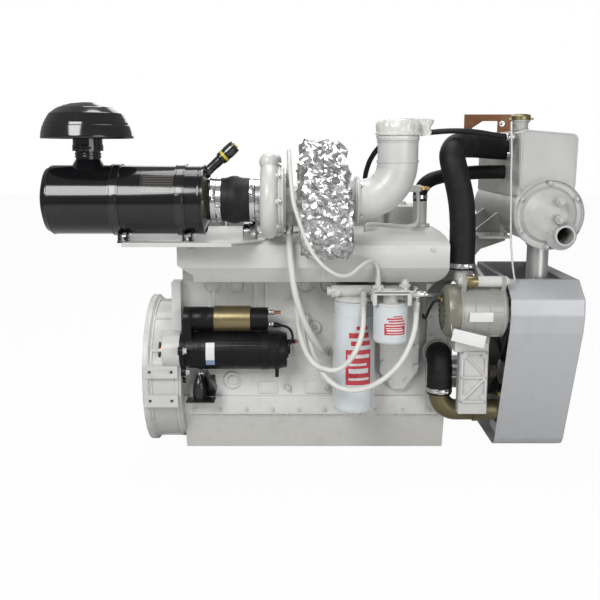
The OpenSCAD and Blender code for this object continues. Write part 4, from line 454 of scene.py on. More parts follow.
def group(name, inputs, outputs):
    """A new shader node group. An input is a number with its default, or a vector when that is None."""
    tree = bpy.data.node_groups.new(name, "ShaderNodeTree")
    for label, value in inputs.items():
        kind = "NodeSocketVector" if value is None else "NodeSocketFloat"
        socket = tree.interface.new_socket(label, in_out="INPUT", socket_type=kind)
        if value is not None:
            socket.default_value = value
    for label in outputs:
        tree.interface.new_socket(label, in_out="OUTPUT", socket_type="NodeSocketFloat")
    return tree, tree.nodes.new("NodeGroupInput").outputs


def put_out(tree, **values):
    """Links a group's outputs."""
    wired(tree, "NodeGroupOutput", values)


def build_groups():
    """Uneven paint with casting grain, crumpled folds, and a mask between two levels."""
    noisy, cells, sums, ranged = ("ShaderNodeTexNoise", "ShaderNodeTexVoronoi", "ShaderNodeMath",
                                  "ShaderNodeMapRange")
    tree, given = group("Cast grain", {"Vector": None, "Grain": 260.0, "Patch": 9.0},
                        ("Height", "Tone", "Grime"))
    spot = given["Vector"]
    fine = wired(tree, noisy, {"Vector": spot, "Scale": given["Grain"], "Detail": 3})
    patch = wired(tree, noisy, {"Vector": spot, "Scale": given["Patch"], "Detail": 5})
    streak = wired(tree, noisy, {"Vector": spot, "Scale": 31.0, "Detail": 4})
    speck = wired(tree, cells, {"Vector": spot, "Scale": 420.0})
    rough = wired(tree, sums, {0: speck.outputs["Distance"], 1: 0.35, 2: fine.outputs["Fac"]},
                  operation="MULTIPLY_ADD")
    grime = wired(tree, sums, {0: patch.outputs["Fac"], 1: streak.outputs["Fac"]}, operation="MULTIPLY")
    worn = wired(tree, ranged, {"Value": grime.outputs[0], "From Min": 0.24, "From Max": 0.42})
    put_out(tree, Height=rough.outputs[0], Tone=patch.outputs["Fac"], Grime=worn.outputs[0])

    # On the foil this Tone is painted shade and dark reflection in the creases; on the film it pales the
    # ridges
    tree, given = group("Crumpled folds", {"Vector": None, "Scale": 45.0}, ("Height", "Tone"))
    warp = wired(tree, noisy, {"Vector": given["Vector"], "Scale": 30.0})
    shift = wired(tree, "ShaderNodeVectorMath", {0: warp.outputs["Color"], 1: (0.02, 0.02, 0.02),
                                                 2: given["Vector"]}, operation="MULTIPLY_ADD")
    folds = wired(tree, cells, {"Vector": shift.outputs[0], "Scale": given["Scale"]},
                  feature="DISTANCE_TO_EDGE")
    ridges = wired(tree, cells, {"Vector": shift.outputs[0], "Scale": 110.0})
    both = wired(tree, sums, {0: ridges.outputs["Distance"], 1: 0.4, 2: folds.outputs["Distance"]},
                 operation="MULTIPLY_ADD")
    put_out(tree, Height=both.outputs[0], Tone=ridges.outputs["Distance"])

    tree, given = group("Step between", {"Value": 0.0, "Low": 0.0, "High": 1.0}, ("Mask",))
    above = wired(tree, sums, {0: given["Value"], 1: given["Low"]}, operation="GREATER_THAN")
    below = wired(tree, sums, {0: given["Value"], 1: given["High"]}, operation="LESS_THAN")
    both = wired(tree, sums, {0: above.outputs[0], 1: below.outputs[0]}, operation="MULTIPLY")
    put_out(tree, Mask=both.outputs[0])


class Finish:
    """One Principled material that is filled step by step."""

    def __init__(self, name, color, roughness, metallic=0.0, coat=0.0, specular=0.5):
        self.material = bpy.data.materials.new(name)
        self.material.use_nodes = True
        self.tree = self.material.node_tree
        self.shader = self.tree.nodes["Principled BSDF"]
        self.base, self.rough = (*color, 1), roughness
        for key, value in (("Base Color", self.base), ("Roughness", roughness), ("Metallic", metallic),
                           ("Coat Weight", coat), ("Coat Roughness", 0.08), ("Specular IOR Level", specular)):
            self.shader.inputs[key].default_value = value
        self.coords = self.node("ShaderNodeTexCoord").outputs["Object"]

    def node(self, kind, inputs=(), **settings):
        """A node of this material."""
        return wired(self.tree, kind, inputs, **settings)

    def math(self, operation, *values):
        """The result of one sum."""
        return self.node("ShaderNodeMath", dict(enumerate(values)), operation=operation).outputs[0]

    def feed(self, key, socket):
        """Links an output to the shader."""
        self.tree.links.new(socket, self.shader.inputs[key])
        return self

    def use(self, name, **inputs):
        """One of the shared node groups."""
        return self.node("ShaderNodeGroup", inputs, node_tree=bpy.data.node_groups[name]).outputs

    def mix(self, mask, color, share=1.0):
        """Lays a colour over the base where the mask is 1."""
        if share != 1.0:
            mask = self.math("MULTIPLY", mask, share)
        self.base = self.node("ShaderNodeMix", {"Factor": mask, "A": self.base, "B": (*color, 1)},
                              data_type="RGBA").outputs["Result"]
        return self.feed("Base Color", self.base)

    def roughen(self, value, low, high):
        """Lets the roughness follow a texture between two levels."""
        node = self.node("ShaderNodeMapRange", {"Value": value, "To Min": low, "To Max": high})
        return self.feed("Roughness", node.outputs[0])

    def bump(self, height, strength, distance):
        """Raises the surface's normals by a height."""
        node = self.node("ShaderNodeBump", {"Strength": strength, "Distance": distance, "Height": height})
        return self.feed("Normal", node.outputs["Normal"])

    def grain(self, scale, patch, strength, distance, dirt=None, share=0.3, spread=0.12):
        """Casting or paint grain with uneven tone and some dirt."""
        made = self.use("Cast grain", Vector=self.coords, Grain=scale, Patch=patch)
        if dirt is not None:
            self.mix(made["Grime"], dirt, share)
        self.roughen(made["Tone"], max(0.02, self.rough - spread), min(1, self.rough + spread))
        return self.bump(made["Height"], strength, distance)

    def along(self, axis, centre=ORIGIN):
        """One coordinate of the surface, counted from a centre in millimetres."""
        node = self.node("ShaderNodeMapping", {"Vector": self.coords, "Location": -centre * MM})
        return self.node("ShaderNodeSeparateXYZ", {0: node.outputs[0]}).outputs[axis]

    def between(self, value, low, high):
        """A mask of the surface where a value is between two levels."""
        return self.use("Step between", Value=value, Low=low, High=high)[0]

    def window(self, **spans):
        """A mask of the surface between two levels, in metres, on each axis that is named."""
        masks = [self.between(self.along(axis), *span) for axis, span in spans.items()]
        return self.times(*masks)

    def times(self, mask, *masks):
        """Where all the masks are."""
        for other in masks:
            mask = self.math("MULTIPLY", mask, other)
        return mask

    def bearing(self, centre):
        """The angle round an upright axis, in radians from the near side."""
        near = self.math("MULTIPLY", self.along("Y", centre), -1)
        return self.math("ARCTAN2", self.along("X", centre), near)

    def bars(self, value, count, share):
        """A mask of equal bars along a value."""
        return self.between(self.math("FRACT", self.math("MULTIPLY", value, count)), 0.0, share)


# The finishes by name, and the pale bars' colour on the filters
MATERIALS = {}
PALE = (0.66, 0.68, 0.69)


def filter_label(finish, centre, low, high, red):
    """A plain colour block with bars on a filter can, facing the camera's side.

    Each bar has its two levels as shares of the label's height, and its two sides in radians.
    """
    turn, height, span = finish.bearing(centre), finish.along("Z"), high - low
    for start, end, left, right, paint in (
            (0.00, 0.60, -0.45, 0.85, red), (0.94, 1.00, 0.05, 0.62, red), (0.80, 0.89, -0.30, 0.70, red),
            (0.67, 0.75, -0.20, 0.80, red), (0.46, 0.52, -0.35, 0.75, PALE), (0.33, 0.37, -0.35, 0.60, PALE),
            (0.20, 0.28, -0.30, 0.70, PALE), (0.08, 0.12, -0.30, 0.75, PALE)):
        finish.mix(finish.times(finish.between(turn, left, right),
                                finish.between(height, low + span * start, low + span * end)), paint)


def build_materials(colours):
    """Every finish on the engine. Its grain is the arguments of Finish.grain."""
    def make(key, name, color, roughness, grain=None, **shader):
        """One finish under its key."""
        finish = Finish(name, color, roughness, **shader)
        MATERIALS[key] = finish.material
        return finish.grain(*grain) if grain else finish

    dirt = (0.30, 0.28, 0.24)
    can_grain = (300, 6, 0.05, 0.0004, (0.45, 0.47, 0.48), 0.2, 0.06)
    gloss_grain = (60, 5, 0.04, 0.0004, (0.03, 0.03, 0.03), 0.25, 0.05)
    marking_grain = (300, 12, 0.06, 0.0003)
    sticker_grain = (300, 9, 0.04, 0.0003)
    for key, name, color, roughness, grain, shader in (
            ("cast", "engine enamel on castings", colours.paint, 0.42, (300, 8, 0.5, 0.0010, dirt, 0.22),
             {"coat": 0.15}),
            ("smooth_paint", "engine enamel on smooth parts", colours.paint, 0.34,
             (520, 7, 0.18, 0.0005, dirt, 0.14), {"coat": 0.2}),
            ("guard", "silver-grey guard paint", colours.sheet, 0.38,
             (700, 3, 0.10, 0.0004, (0.36, 0.35, 0.33), 0.25, 0.08), {"metallic": 0.15, "coat": 0.1}),
            ("rust", "rusted lifting plate", (0.20, 0.085, 0.035), 0.75,
             (180, 28, 0.7, 0.0010, (0.33, 0.19, 0.09), 0.8, 0.15), {}),
            ("gloss", "gloss black filter paint", (0.009, 0.009, 0.010), 0.13, gloss_grain, {"coat": 0.5}),
            ("rubber", "black hose rubber", colours.rubber, 0.55,
             (320, 16, 0.30, 0.0006, (0.028, 0.027, 0.025), 0.4, 0.10), {"specular": 0.28}),
            ("belt", "belt rubber", (0.014, 0.014, 0.014), 0.62, (500, 20, 0.3, 0.0004), {}),
            ("sleeve", "white hose sleeve", colours.sleeve, 0.42,
             (380, 18, 0.25, 0.0006, (0.44, 0.42, 0.36), 0.25, 0.10), {}),
            ("steel", "machined steel", (0.50, 0.50, 0.51), 0.30, (600, 30, 0.12, 0.0003), {"metallic": 1.0}),
            ("zinc", "bright zinc fasteners", (0.62, 0.62, 0.61), 0.26,
             (500, 40, 0.12, 0.0003, (0.4, 0.38, 0.33), 0.3), {"metallic": 1.0}),
            ("clamp", "clamp band steel", (0.66, 0.67, 0.68), 0.22,
             (420, 30, 0.1, 0.0003), {"metallic": 1.0}),
            ("dark_iron", "dull cast iron", (0.13, 0.125, 0.12), 0.62,
             (240, 14, 0.7, 0.0012, (0.20, 0.14, 0.09), 0.4), {"metallic": 0.4}),
            ("black_metal", "satin black paint", (0.014, 0.014, 0.015), 0.30,
             (420, 10, 0.16, 0.0005, (0.04, 0.038, 0.035), 0.4), {"coat": 0.2}),
            ("starter", "starter black enamel", (0.006, 0.006, 0.007), 0.36,
             (300, 8, 0.14, 0.0005, (0.020, 0.019, 0.018), 0.3), {"specular": 0.22}),
            ("brass", "dull yellow plating", (0.27, 0.225, 0.12), 0.34,
             (380, 18, 0.15, 0.0004, (0.17, 0.14, 0.08), 0.5), {"metallic": 0.85}),
            ("copper", "copper studs", (0.48, 0.22, 0.11), 0.30, (420, 20, 0.15, 0.0004), {"metallic": 1.0}),
            ("plastic", "black plastic", (0.012, 0.012, 0.013), 0.24, marking_grain, {}),
            ("clear", "smoked window", (0.02, 0.02, 0.022), 0.08, (200, 12, 0.02, 0.0002), {"coat": 0.8}),
            ("yellow", "yellow marking", (0.52, 0.42, 0.03), 0.35, marking_grain, {}),
            ("brown", "brass fitting", (0.42, 0.30, 0.13), 0.32, (400, 20, 0.12, 0.0003), {"metallic": 1.0}),
            ("paper", "filter paper", (0.62, 0.45, 0.20), 0.85, (200, 40, 0.4, 0.001), {}),
            ("tag", "plain tag", (0.72, 0.72, 0.71), 0.35, (400, 12, 0.04, 0.0003), {}),
            ("label_white", "blank sticker", (0.70, 0.70, 0.69), 0.3, sticker_grain, {}),
            ("label_blue", "plain blue sticker", (0.22, 0.30, 0.44), 0.3, sticker_grain, {})):
        make(key, name, color, roughness, grain, **shader)

    # The block's copy of the engine enamel is a little paler as painted light, and grimy towards its foot
    block = make("block_paint_lightened", "engine enamel on the block, lightened as painted light", [c * 1.2 for c in colours.paint], 0.46,
                 (230, 6, 0.6, 0.0012, dirt, 0.16), coat=0.1)
    low = block.node("ShaderNodeMapRange", {"Value": block.along("Z"), "From Min": 0.02, "From Max": -0.24})
    block.mix(low.outputs[0], (0.34, 0.30, 0.23), 0.2)
    # The tank's end behind the coolant hoses is painted darker and olive, as painted shade and dark
    # reflection
    tank = make("tank", "grey tank enamel", colours.tank, 0.36,
                (420, 4, 0.22, 0.0005, (0.27, 0.25, 0.20), 0.28), coat=0.15)
    tank.mix(tank.window(X=(0.90, 1.0575), Y=(-0.24, 0.40)), (0.21, 0.21, 0.17), 0.55)
    # The drum has a browner end, and a dark plate with plain lines on its near side
    drum = make("drum", "gloss black filter drum", (0.007, 0.007, 0.008), 0.13, gloss_grain, coat=0.3,
                specular=0.4)
    drum.mix(drum.window(X=(0.1975, 0.30)), (0.045, 0.043, 0.030))
    plate = drum.window(X=(0.040, 0.140), Z=(0.562, 0.606), Y=(-0.5, -0.36))
    drum.mix(plate, (0.030, 0.028, 0.026))
    lines = drum.times(plate, drum.bars(drum.along("Z"), 160, 0.4), drum.window(X=(0.047, 0.132)))
    drum.mix(lines, (0.11, 0.10, 0.09), 0.7)
    # The foil is painted darker away from the centres of small fold cells, as painted shade and dark
    # reflections in its creases; its darker patches are partly stains and partly painted dark reflections
    foil = make("foil", "crumpled foil", (0.86, 0.86, 0.88), 0.15, metallic=1.0)
    folds = foil.use("Crumpled folds", Vector=foil.coords, Scale=38.0)
    foil.mix(folds["Tone"], (0.30, 0.295, 0.29), 1.0)
    stains_and_dark_reflections = foil.use("Cast grain", Vector=foil.coords, Grain=40.0, Patch=22.0)
    foil.mix(stains_and_dark_reflections["Grime"], (0.20, 0.18, 0.16), 0.35)
    foil.roughen(folds["Tone"], 0.20, 0.40).bump(folds["Height"], 0.5, 0.002)
    film = make("film", "milky plastic film", (0.62, 0.61, 0.57), 0.26, coat=0.3)
    folds = film.use("Crumpled folds", Vector=film.coords, Scale=30.0)
    film.mix(folds["Tone"], (0.80, 0.80, 0.78), 0.8).bump(folds["Height"], 0.6, 0.003)
    film.shader.inputs["Alpha"].default_value = 0.93
    # The lower pipe is plated, and painted like the tank where it rises to the heat exchanger
    plated = make("olive_zinc", "olive zinc plating", (0.17, 0.145, 0.075), 0.33,
                  (260, 14, 0.18, 0.0005, (0.07, 0.06, 0.045), 0.7), metallic=0.6)
    plated.mix(plated.window(Z=(0.03, 0.60)), colours.tank)
    for key, name, centre, low, high in (
            ("pale_can", "oil filter can", OIL_FILTER, 0.02, 0.188),
            ("pale_can_small", "coolant filter can", COOLANT_FILTER, 0.180, 0.232)):
        can = make(key, name, (0.60, 0.64, 0.66), 0.22, can_grain, coat=0.4)
        filter_label(can, centre, low, high, colours.label)
    # The alternator's rear cap is plated olive
    alternator = make("alternator", "alternator alloy paint", (0.36, 0.36, 0.345), 0.36,
                      (300, 9, 0.4, 0.0008, dirt, 0.25), metallic=0.25)
    alternator.mix(alternator.window(X=(0.80, 0.893)), (0.17, 0.165, 0.12), 0.85)


# Finishes of the CAD nodes that keep their own shape
NODE_FINISH = {
    "steel": ("crankshaft", "flywheel", "camshaft", "outer_pistons", "middle_pistons", "inner_pistons",
              "turbo_rotor", "starter_pinion", "alternator_rotor", "tensioner_pulley", "shutoff_valve"),
    "dark_iron": ("damper_pulley", "tensioner_arm", "water_pump_pulley"),
    "smooth_paint": ("exhaust_elbow", "charge_air_pipe", "compressor_housing"),
    "cast": ("turbine_housing", "bearing_housing", "casting_bolts"),
    "sleeve": ("oil_drain_hose", "oil_feed_hose", "filter_supply_hose", "filter_return_hose"),
    "rubber": ("inlet_hose", "coolant_hoses"),
    "copper": ("starter_armature",), "starter": ("starter_solenoid",), "paper": ("air_filter_element",),
    "yellow": ("indicator_button",), "plastic": ("restriction_indicator",), "brass": ("filler_cap",),
    "gloss": ("rain_cap",), "drum": ("air_filter_body",), "clamp": ("band_clamps",),
    "pale_can": ("oil_filter",), "pale_can_small": ("coolant_filter",), "tank": ("heat_exchanger_cover",),
    "olive_zinc": ("lower_coolant_pipe",), "foil": ("foil_wrap",), "film": ("outlet_film",),
}


class ENGINE_OT_camera(bpy.types.Operator):
    """Place the camera level with the air filter, looking slightly down"""
    bl_idname = "engine.camera"
    bl_label = "Camera"

    def execute(self, context):
        alone()
        bpy.ops.object.camera_add(location=CAMERA_PLACE, rotation=(math.radians(CAMERA_PITCH), 0, 0))
        camera = context.object
        camera.name = "view_camera"
        camera.data.sensor_width = 36
        camera.data.lens = context.scene.engine_sizes.camera_lens
        context.scene.camera = camera
        return {"FINISHED"}


class ENGINE_OT_white_hoses(bpy.types.Operator):
    """Sweep the four white hoses along their routes, with crimped ends"""
    bl_idname = "engine.white_hoses"
    bl_label = "White hoses"

    def execute(self, context):
        for name, node, route, radius in (("drain_sleeve", "oil_drain_hose", DRAIN, 9),
                                          ("feed_sleeve", "oil_feed_hose", FEED, 5),
                                          ("supply_sleeve", "filter_supply_hose", SUPPLY, 7.5),
                                          ("return_sleeve", "filter_return_hose", RETURN, 7.5)):
            hose = sweep(route, radius, name, resolution=6, rings=6)
            hose.data.materials.append(MATERIALS["sleeve"])
            line = centreline(hose)
            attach(hose, "engine")
            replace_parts(hose, node)
            ends = []
            for a, b in ((line[0], line[6]), (line[-1], line[-7])):
                start, way = a / MM, (b - a).normalized()
                crimp, lip = start + way * (1 + radius * 2.6), start + way * (1 + radius * 3.0)
                ends += [rod(start + way, crimp, radius + 1.6, 24, 0.6),
                         rod(crimp, lip, radius + 0.7, 24, 0.3),
                         stud(start - way * 4.5, way, 10, radius + 3.2, 6, 0.6)]
            piece(name + "_ends", "zinc" if radius > 8 else "smooth_paint", *ends, slot="white_hose")
        return {"FINISHED"}


class ENGINE_OT_castings(bpy.types.Operator):
    """Round the castings' edges, and give every node its finish"""
    bl_idname = "engine.castings"
    bl_label = "Castings"

    def execute(self, context):
        edge = context.scene.engine_sizes.cast_edge
        for node, finish, share in (
                ("cylinder_head", "cast", 1), ("valve_covers", "smooth_paint", 1),
                ("exhaust_manifold", "smooth_paint", 1), ("flywheel_housing", "cast", 0.8),
                ("oil_pan", "block_paint_lightened", 1), ("gear_housing", "cast", 1), ("oil_cooler_cover", "cast", 0.8),
                ("filter_head", "smooth_paint", 0.5), ("filter_shelf", "smooth_paint", 0.4),
                ("alternator_bracket", "cast", 0.6), ("alternator_body", "alternator", 0.5),
                ("water_pump", "cast", 0.6), ("fuel_pump", "cast", 0.6), ("drive_belt", "belt", 0.3),
                ("starter_motor", "starter", 0.5)):
            soft_copy(node, node + "_cast", edge * share, finish)
        # Only the block's outer edges and the folds of the guard's front are rounded
        ledge, front = 0.112, 1.2315
        soft_copy("cylinder_block", "cylinder_block_cast", edge, "block_paint_lightened", dissolve=0.05,
                  keep=lambda ends: all(abs(p.y) > ledge for p in ends))
        soft_copy("belt_guard", "belt_guard_cast", context.scene.engine_sizes.guard_fold, "guard", angle=6,
                  keep=lambda ends: any(p.x > front for p in ends), segments=6)
        for finish, nodes in NODE_FINISH.items():
            for node in nodes:
                paint_mesh(frame["nodes"][node].data, finish)
        return {"FINISHED"}


def ramp(value, start, end):
    """How far a value is from a start towards an end, and 0 before the start."""
    return max(0.0, (value - start) / (end - start))


def hull_ring(margin, count):
    """The foil's outline across the engine, evenly spaced, in metres."""
    cloud = []
    for y, z, r in FOIL_CIRCLES:
        for a in every(90):
            turn = math.radians(a)
            cloud.append(Vector((y + (r - margin) * math.cos(turn), z + (r - margin) * math.sin(turn))))
    loop = [cloud[i] for i in convex_hull_2d(cloud)]
    steps = [(b - a).length for a, b in zip(loop, loop[1:] + loop[:1])]
    total, out, done, i = sum(steps), [], 0.0, 0
    for k in range(count):
        target = total * k / count
        while done + steps[i] < target:
            done += steps[i]
            i += 1
        a, b = loop[i], loop[(i + 1) % len(loop)]
        out.append(a.lerp(b, (target - done) / max(steps[i], 1e-9)))
    return out


class ENGINE_OT_foil(bpy.types.Operator):
    """Wrap coarsely crumpled foil round the turbine housing"""
    bl_idname = "engine.foil"
    bl_label = "Foil wrap"

    def execute(self, context):
        depth = context.scene.engine_sizes.crumple
        count, stations = 56, 9
        # Rows of (share of the wrap's width, share of the outline's size), with both sides tucked in
        rows = [(0.0, 0.30), (0.0, 0.62), (0.0, 0.90)] + [(k / stations, 0.97) for k in range(1, stations)]
        rows += [(1.0, 0.90), (1.0, 0.62), (1.0, 0.30)]
        verts, faces = [], []
        for t, size in rows:
            for y, z in hull_ring(0.001, count):
                high = min(1.0, ramp(z, FOIL_LOW, FOIL_LOW + FOIL_HEIGHT))
                left = FOIL_LEFT + 0.006 * ramp(high, 0.75, 1) + 0.013 * ramp(high, 0.35, 0)
                right = FOIL_RIGHT - 0.016 * ramp(high, 0.6, 1) + 0.007 * ramp(high, 0.4, 0)
                q = FOIL_MIDDLE + (Vector((y, z)) - FOIL_MIDDLE) * size
                verts.append((left + (right - left) * t, q.x, q.y))
        for row in range(len(rows) - 1):
            for k in range(count):
                a, b = row * count + k, row * count + (k + 1) % count
                shift = (row * 7 + k * 5) % 3 % 2
                turn = [a, b, b + count, a + count]
                turn = turn[shift:] + turn[:shift]
                faces += [turn[:3], [turn[2], turn[3], turn[0]]]
        faces += [list(range(count)), [(len(rows) - 1) * count + k for k in reversed(range(count))]]
        mesh = bpy.data.meshes.new("foil")
        mesh.from_pydata(verts, [], faces)
        obj = linked("foil", mesh)
        edit(obj, lambda: bpy.ops.mesh.normals_make_consistent(inside=False))
        # Coarse folds first, and fine ones once each face is split in four
        random.seed(4)
        for spread, lift in ((0.0048, 0.60), (0.0014, 0.14)):
            for v in obj.data.vertices:
                v.co += v.normal * depth * lift * random.uniform(-1, 0.6)
                v.co += Vector(random.uniform(-1, 1) * spread for _ in range(3))
            if lift > 0.5:
                edit(obj, lambda: bpy.ops.mesh.subdivide(number_cuts=1, smoothness=0),
                     lambda: bpy.ops.mesh.quads_convert_to_tris())
        # The foil stays clear of the manifold's top and near side
        for co in (v.co for v in obj.data.vertices):
            if co.y > -0.292:
                co.z = max(co.z, 0.478)
            if co.z < 0.474:
                co.y = min(co.y, -0.298)
        piece("foil_crumpled", "foil", obj, angle=5, outward=False)
        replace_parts(obj, "foil_wrap")
        return {"FINISHED"}


class ENGINE_OT_film(bpy.types.Operator):
    """Tie wrinkled plastic film over the exhaust outlet, with its loose flap"""
    bl_idname = "engine.film"
    bl_label = "Outlet film"

    def execute(self, context):
        cover = turned([(-4, 56.3), (2, 56.6), (10, 57.2), (24, 57.6), (36, 56), (44, 50), (48, 38), (49, 20),
                        (49, 0.1)], OUTLET, Z, 96)
        edit(cover, lambda: bpy.ops.mesh.subdivide(number_cuts=1, smoothness=0))
        # The cover's folds run down its side and grow towards its top
        for v in cover.data.vertices:
            p, out = v.co / MM, v.co - OUTLET * MM
            turn = math.atan2(out.y, out.x)
            rise = max(0.0, out.z - 0.006)
            fold = noise.noise(Vector((turn * 5.5, rise * 60, 3.1))) + 0.5 * noise.noise(p / 9)
            v.co += Vector((math.cos(turn), math.sin(turn), 0.35)) * min(rise * 0.14, 0.0035) * fold
            if rise > 0.036:
                v.co.z += 0.0022 * noise.noise(p / 16)
        alone()
        bpy.ops.mesh.primitive_grid_add(x_subdivisions=26, y_subdivisions=16, size=1, location=(0, 0, 0))
        flap = bpy.context.object
        # The flap's u runs outwards from the cover and its w runs upwards
        for v in flap.data.vertices:
            u, w = v.co.x + 0.5, v.co.y + 0.5
            v.co = Vector((0.766 + (0.030 + 0.011 * w) * u, -0.318 + 0.010 * math.sin(u * 5 + w * 2),
                           0.706 + 0.045 * w - 0.004 * u * w))
            v.co.x += 0.003 * math.sin(w * 9) * u
            v.co.y += 0.004 * noise.noise(Vector((u * 5, w * 4, 1)))
        tail = turned([(0, 57.0), (5, 59.2), (7, 58.6), (9, 57.2)], OUTLET + Z * 3, Z, 96)
        film = modify(joined([cover, flap, tail]), "SOLIDIFY", thickness=0.0007, offset=1)
        piece("film_cover", "film", film, angle=55, outward=False)
        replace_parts(film, "outlet_film")
        tie = turned([(0, 57.9), (1.2, 58.8), (2.4, 57.9), (1.2, 57.0), (0, 57.9)], OUTLET + Z * 1.5, Z, 80)
        piece("film_tie", "zinc", tie, slot="film")
        return {"FINISHED"}


class ENGINE_OT_air_filter(bpy.types.Operator):
    """Dress the air filter: rolled cap, seams, straps, hose, clamps and indicator"""
    bl_idname = "engine.air_filter"
    bl_label = "Air filter"

    def execute(self, context):
        seams = [turned([(x, 91.2), (x + 1, 92.6), (x + 3.2, 92.8), (x + 4.4, 91.2)], TURBO, X, 96)
                 for x in (-206, 188)]
        seams.append(turned([(196, 91.6), (197.6, 93.4), (202, 93.4), (203.2, 89)], TURBO, X, 96))
        piece("drum_seams", "gloss", *seams)
        beads = [turned([(z, 32.4), (z + 0.6, 34.6), (z + 3, 35), (z + 5, 34.4), (z + 5.6, 32.4)],
                        FILTER_STEM, Z, 64) for z in (112, 119)]
        piece("stem_beads", "gloss", *beads)
        shell = turned([(-0.6, 117.6), (-1.4, 119.2), (-0.4, 120.8), (3, 121.4), (6, 120.6), (15, 119.6),
                        (30, 115.6), (31.2, 115.4), (32.4, 113.6), (45, 108.6), (62, 98.2), (63, 97.8),
                        (64, 96.0), (76, 80), (85, 58), (90, 34), (92.6, 12), (93, 0.1)], RAIN_CAP, Z, 128)
        piece("cap_shell", "gloss", shell, angle=50)
        band = turned([(-34, 39.0), (-34, 40.4), (-18, 40.4), (-18, 39.0)], RAIN_CAP, Z, 72)
        lugs = [box((x, -349, 666), (x + w, -337, 682)) for x, w in ((-122.5, 12.5), (-108, 12))]
        screw = stud(RAIN_CAP - Vector((25, 43, 26)), X, 44, 2.6, 16, 0.4)
        piece("cap_clamp", "gloss", band, *lugs, screw)

        straps, bolts = [], []
        for x in (-44, 128):
            straps.append(turned(hoop(x, 27, 91.7, 94.9), TURBO, X, 96))
            straps += [turned(bead(x + s, 4, 94.8, 1.1, 1), TURBO, X, 96) for s in (2, 21)]
            straps.append(box((x + 13, -346, 424.2), (x + 43.5, -306, 431), 1.5))
            straps += [box((x + s, -346, 424.2), (x + s + 4, -306, 452)) for s in (15, 37)]
            straps.append(box((x + 4, -399, 520), (x + 23, -391, 556), 1.5))
            bolts += [(x + 28, -338, 431), (x + 28, -314, 431)]
        piece("drum_straps", "gloss", *straps, slot="bright_steel")
        piece("strap_bolts", "zinc", hex_bolts(bolts, Z, 5.5, 7))

        hose = turned([(216, 53.6), (216, 57.2), (217.5, 58), (246, 58), (258, 58.6), (266, 61), (273, 63.4),
                       (281, 64), (289, 63), (296, 60), (303, 58.4), (312, 58), (354.3, 58), (355.6, 57),
                       (355.6, 53.6), (216, 53.6)], TURBO, X, 112)
        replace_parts(piece("inlet_hose_rubber", "rubber", hose, angle=50), "inlet_hose")
        clamps = [worm_clamp(TURBO + X * x, 58.2, tilt)
                  for x, tilt in ((219, -18), (233.5, 24), (322.5, -26), (337.5, 14))]
        clamps.append(worm_clamp((909, -236, 345), 36.4, axis=Z))
        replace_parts(piece("worm_clamps", "clamp", *clamps), "band_clamps")

        body = [(0, 12.2), (4, 15.6), (12, 15.6), (14, 12.4), (24, 12.4), (40, 12.4), (44, 13), (60, 13.2),
                (64, 16.8), (70, 17.2), (82, 16.4), (84, 16.6), (111, 16.6), (114.4, 14.2), (114.6, 9)]
        for name, finish, profile in (("gauge_body", "plastic", body),
                                      ("gauge_ring", "yellow", hoop(72, 7, 16.9, 17.6)),
                                      ("gauge_window", "clear", hoop(86, 20, 16.7, 17.4))):
            piece(name, finish, moved(turned(profile, ORIGIN, Z, 48), (198, -300, 603), tilted(48, Y)))
        return {"FINISHED"}


class ENGINE_OT_turbo(bpy.types.Operator):
    """Dress the turbocharger: clamp rings, bolts, beads and the actuator"""
    bl_idname = "engine.turbo"
    bl_label = "Turbocharger"

    def execute(self, context):
        rings = [turned(bead(x, w, r, t, w * 0.2), TURBO, X, 96)
                 for x, r, w, t in ((397, 85.8, 8, 3.2), (407, 85.8, 6, 2), (328, 52.9, 4, 1.6),
                                    (350, 53, 7, 9), (606, 59.8, 7, 4), (562, 60, 8, 3))]
        lip = turned([(355, 66), (356.5, 72), (362, 74), (366, 70)], TURBO, X, 96)
        piece("turbo_rings", "smooth_paint", *rings, lip)
        spots = around(TURBO + X * 401, 92, every(8))
        piece("compressor_clips", "smooth_paint", *[stud(p - X * 11, X, 11, 6.5, 18, 0.8) for p in spots])
        piece("compressor_bolts", "zinc", hex_bolts(spots, X, 4.6, 6))
        piece("outlet_nuts", "zinc", hex_bolts(around(TURBO + X * 615, 57, every(4, 45)), X, 5.5, 7))
        bands = [turned(bead(-2, 4, 54, 2.2, 0.6), OUTLET - Z * drop, Z, 96) for drop in (66, 12)]
        for angle in (12, 45, 78):
            a = math.radians(angle)
            middle = ELBOW_BEND + Vector((math.sin(a), 0, -math.cos(a))) * 100
            seam = turned(bead(-1.2, 2.4, 53.9, 0.8, 0.4), ORIGIN, Z, 96)
            bands.append(moved(seam, middle, facing((math.cos(a), 0, math.sin(a)))))
        piece("elbow_beads", "smooth_paint", *bands)
        can = turned([(0, 0.1), (0, 24), (3, 27), (16, 27), (18, 29), (20, 29), (22, 27), (34, 24), (38, 14),
                      (38, 0.1)], ACTUATOR, X, 56)
        stalk = stud(ACTUATOR + X * 38, X, 114, 3.2, 16, 0.5)
        nut = stud(ACTUATOR + X * 102, X, 16, 6, 6, 0.8)
        piece("boost_actuator", "zinc", can, stalk, nut)
        line = tube([(330, -266, 470), (334, -270, 492), (346, -276, 510), (356, -284, 520)], 4)
        piece("boost_line", "rubber", line, outward=False)
        return {"FINISHED"}


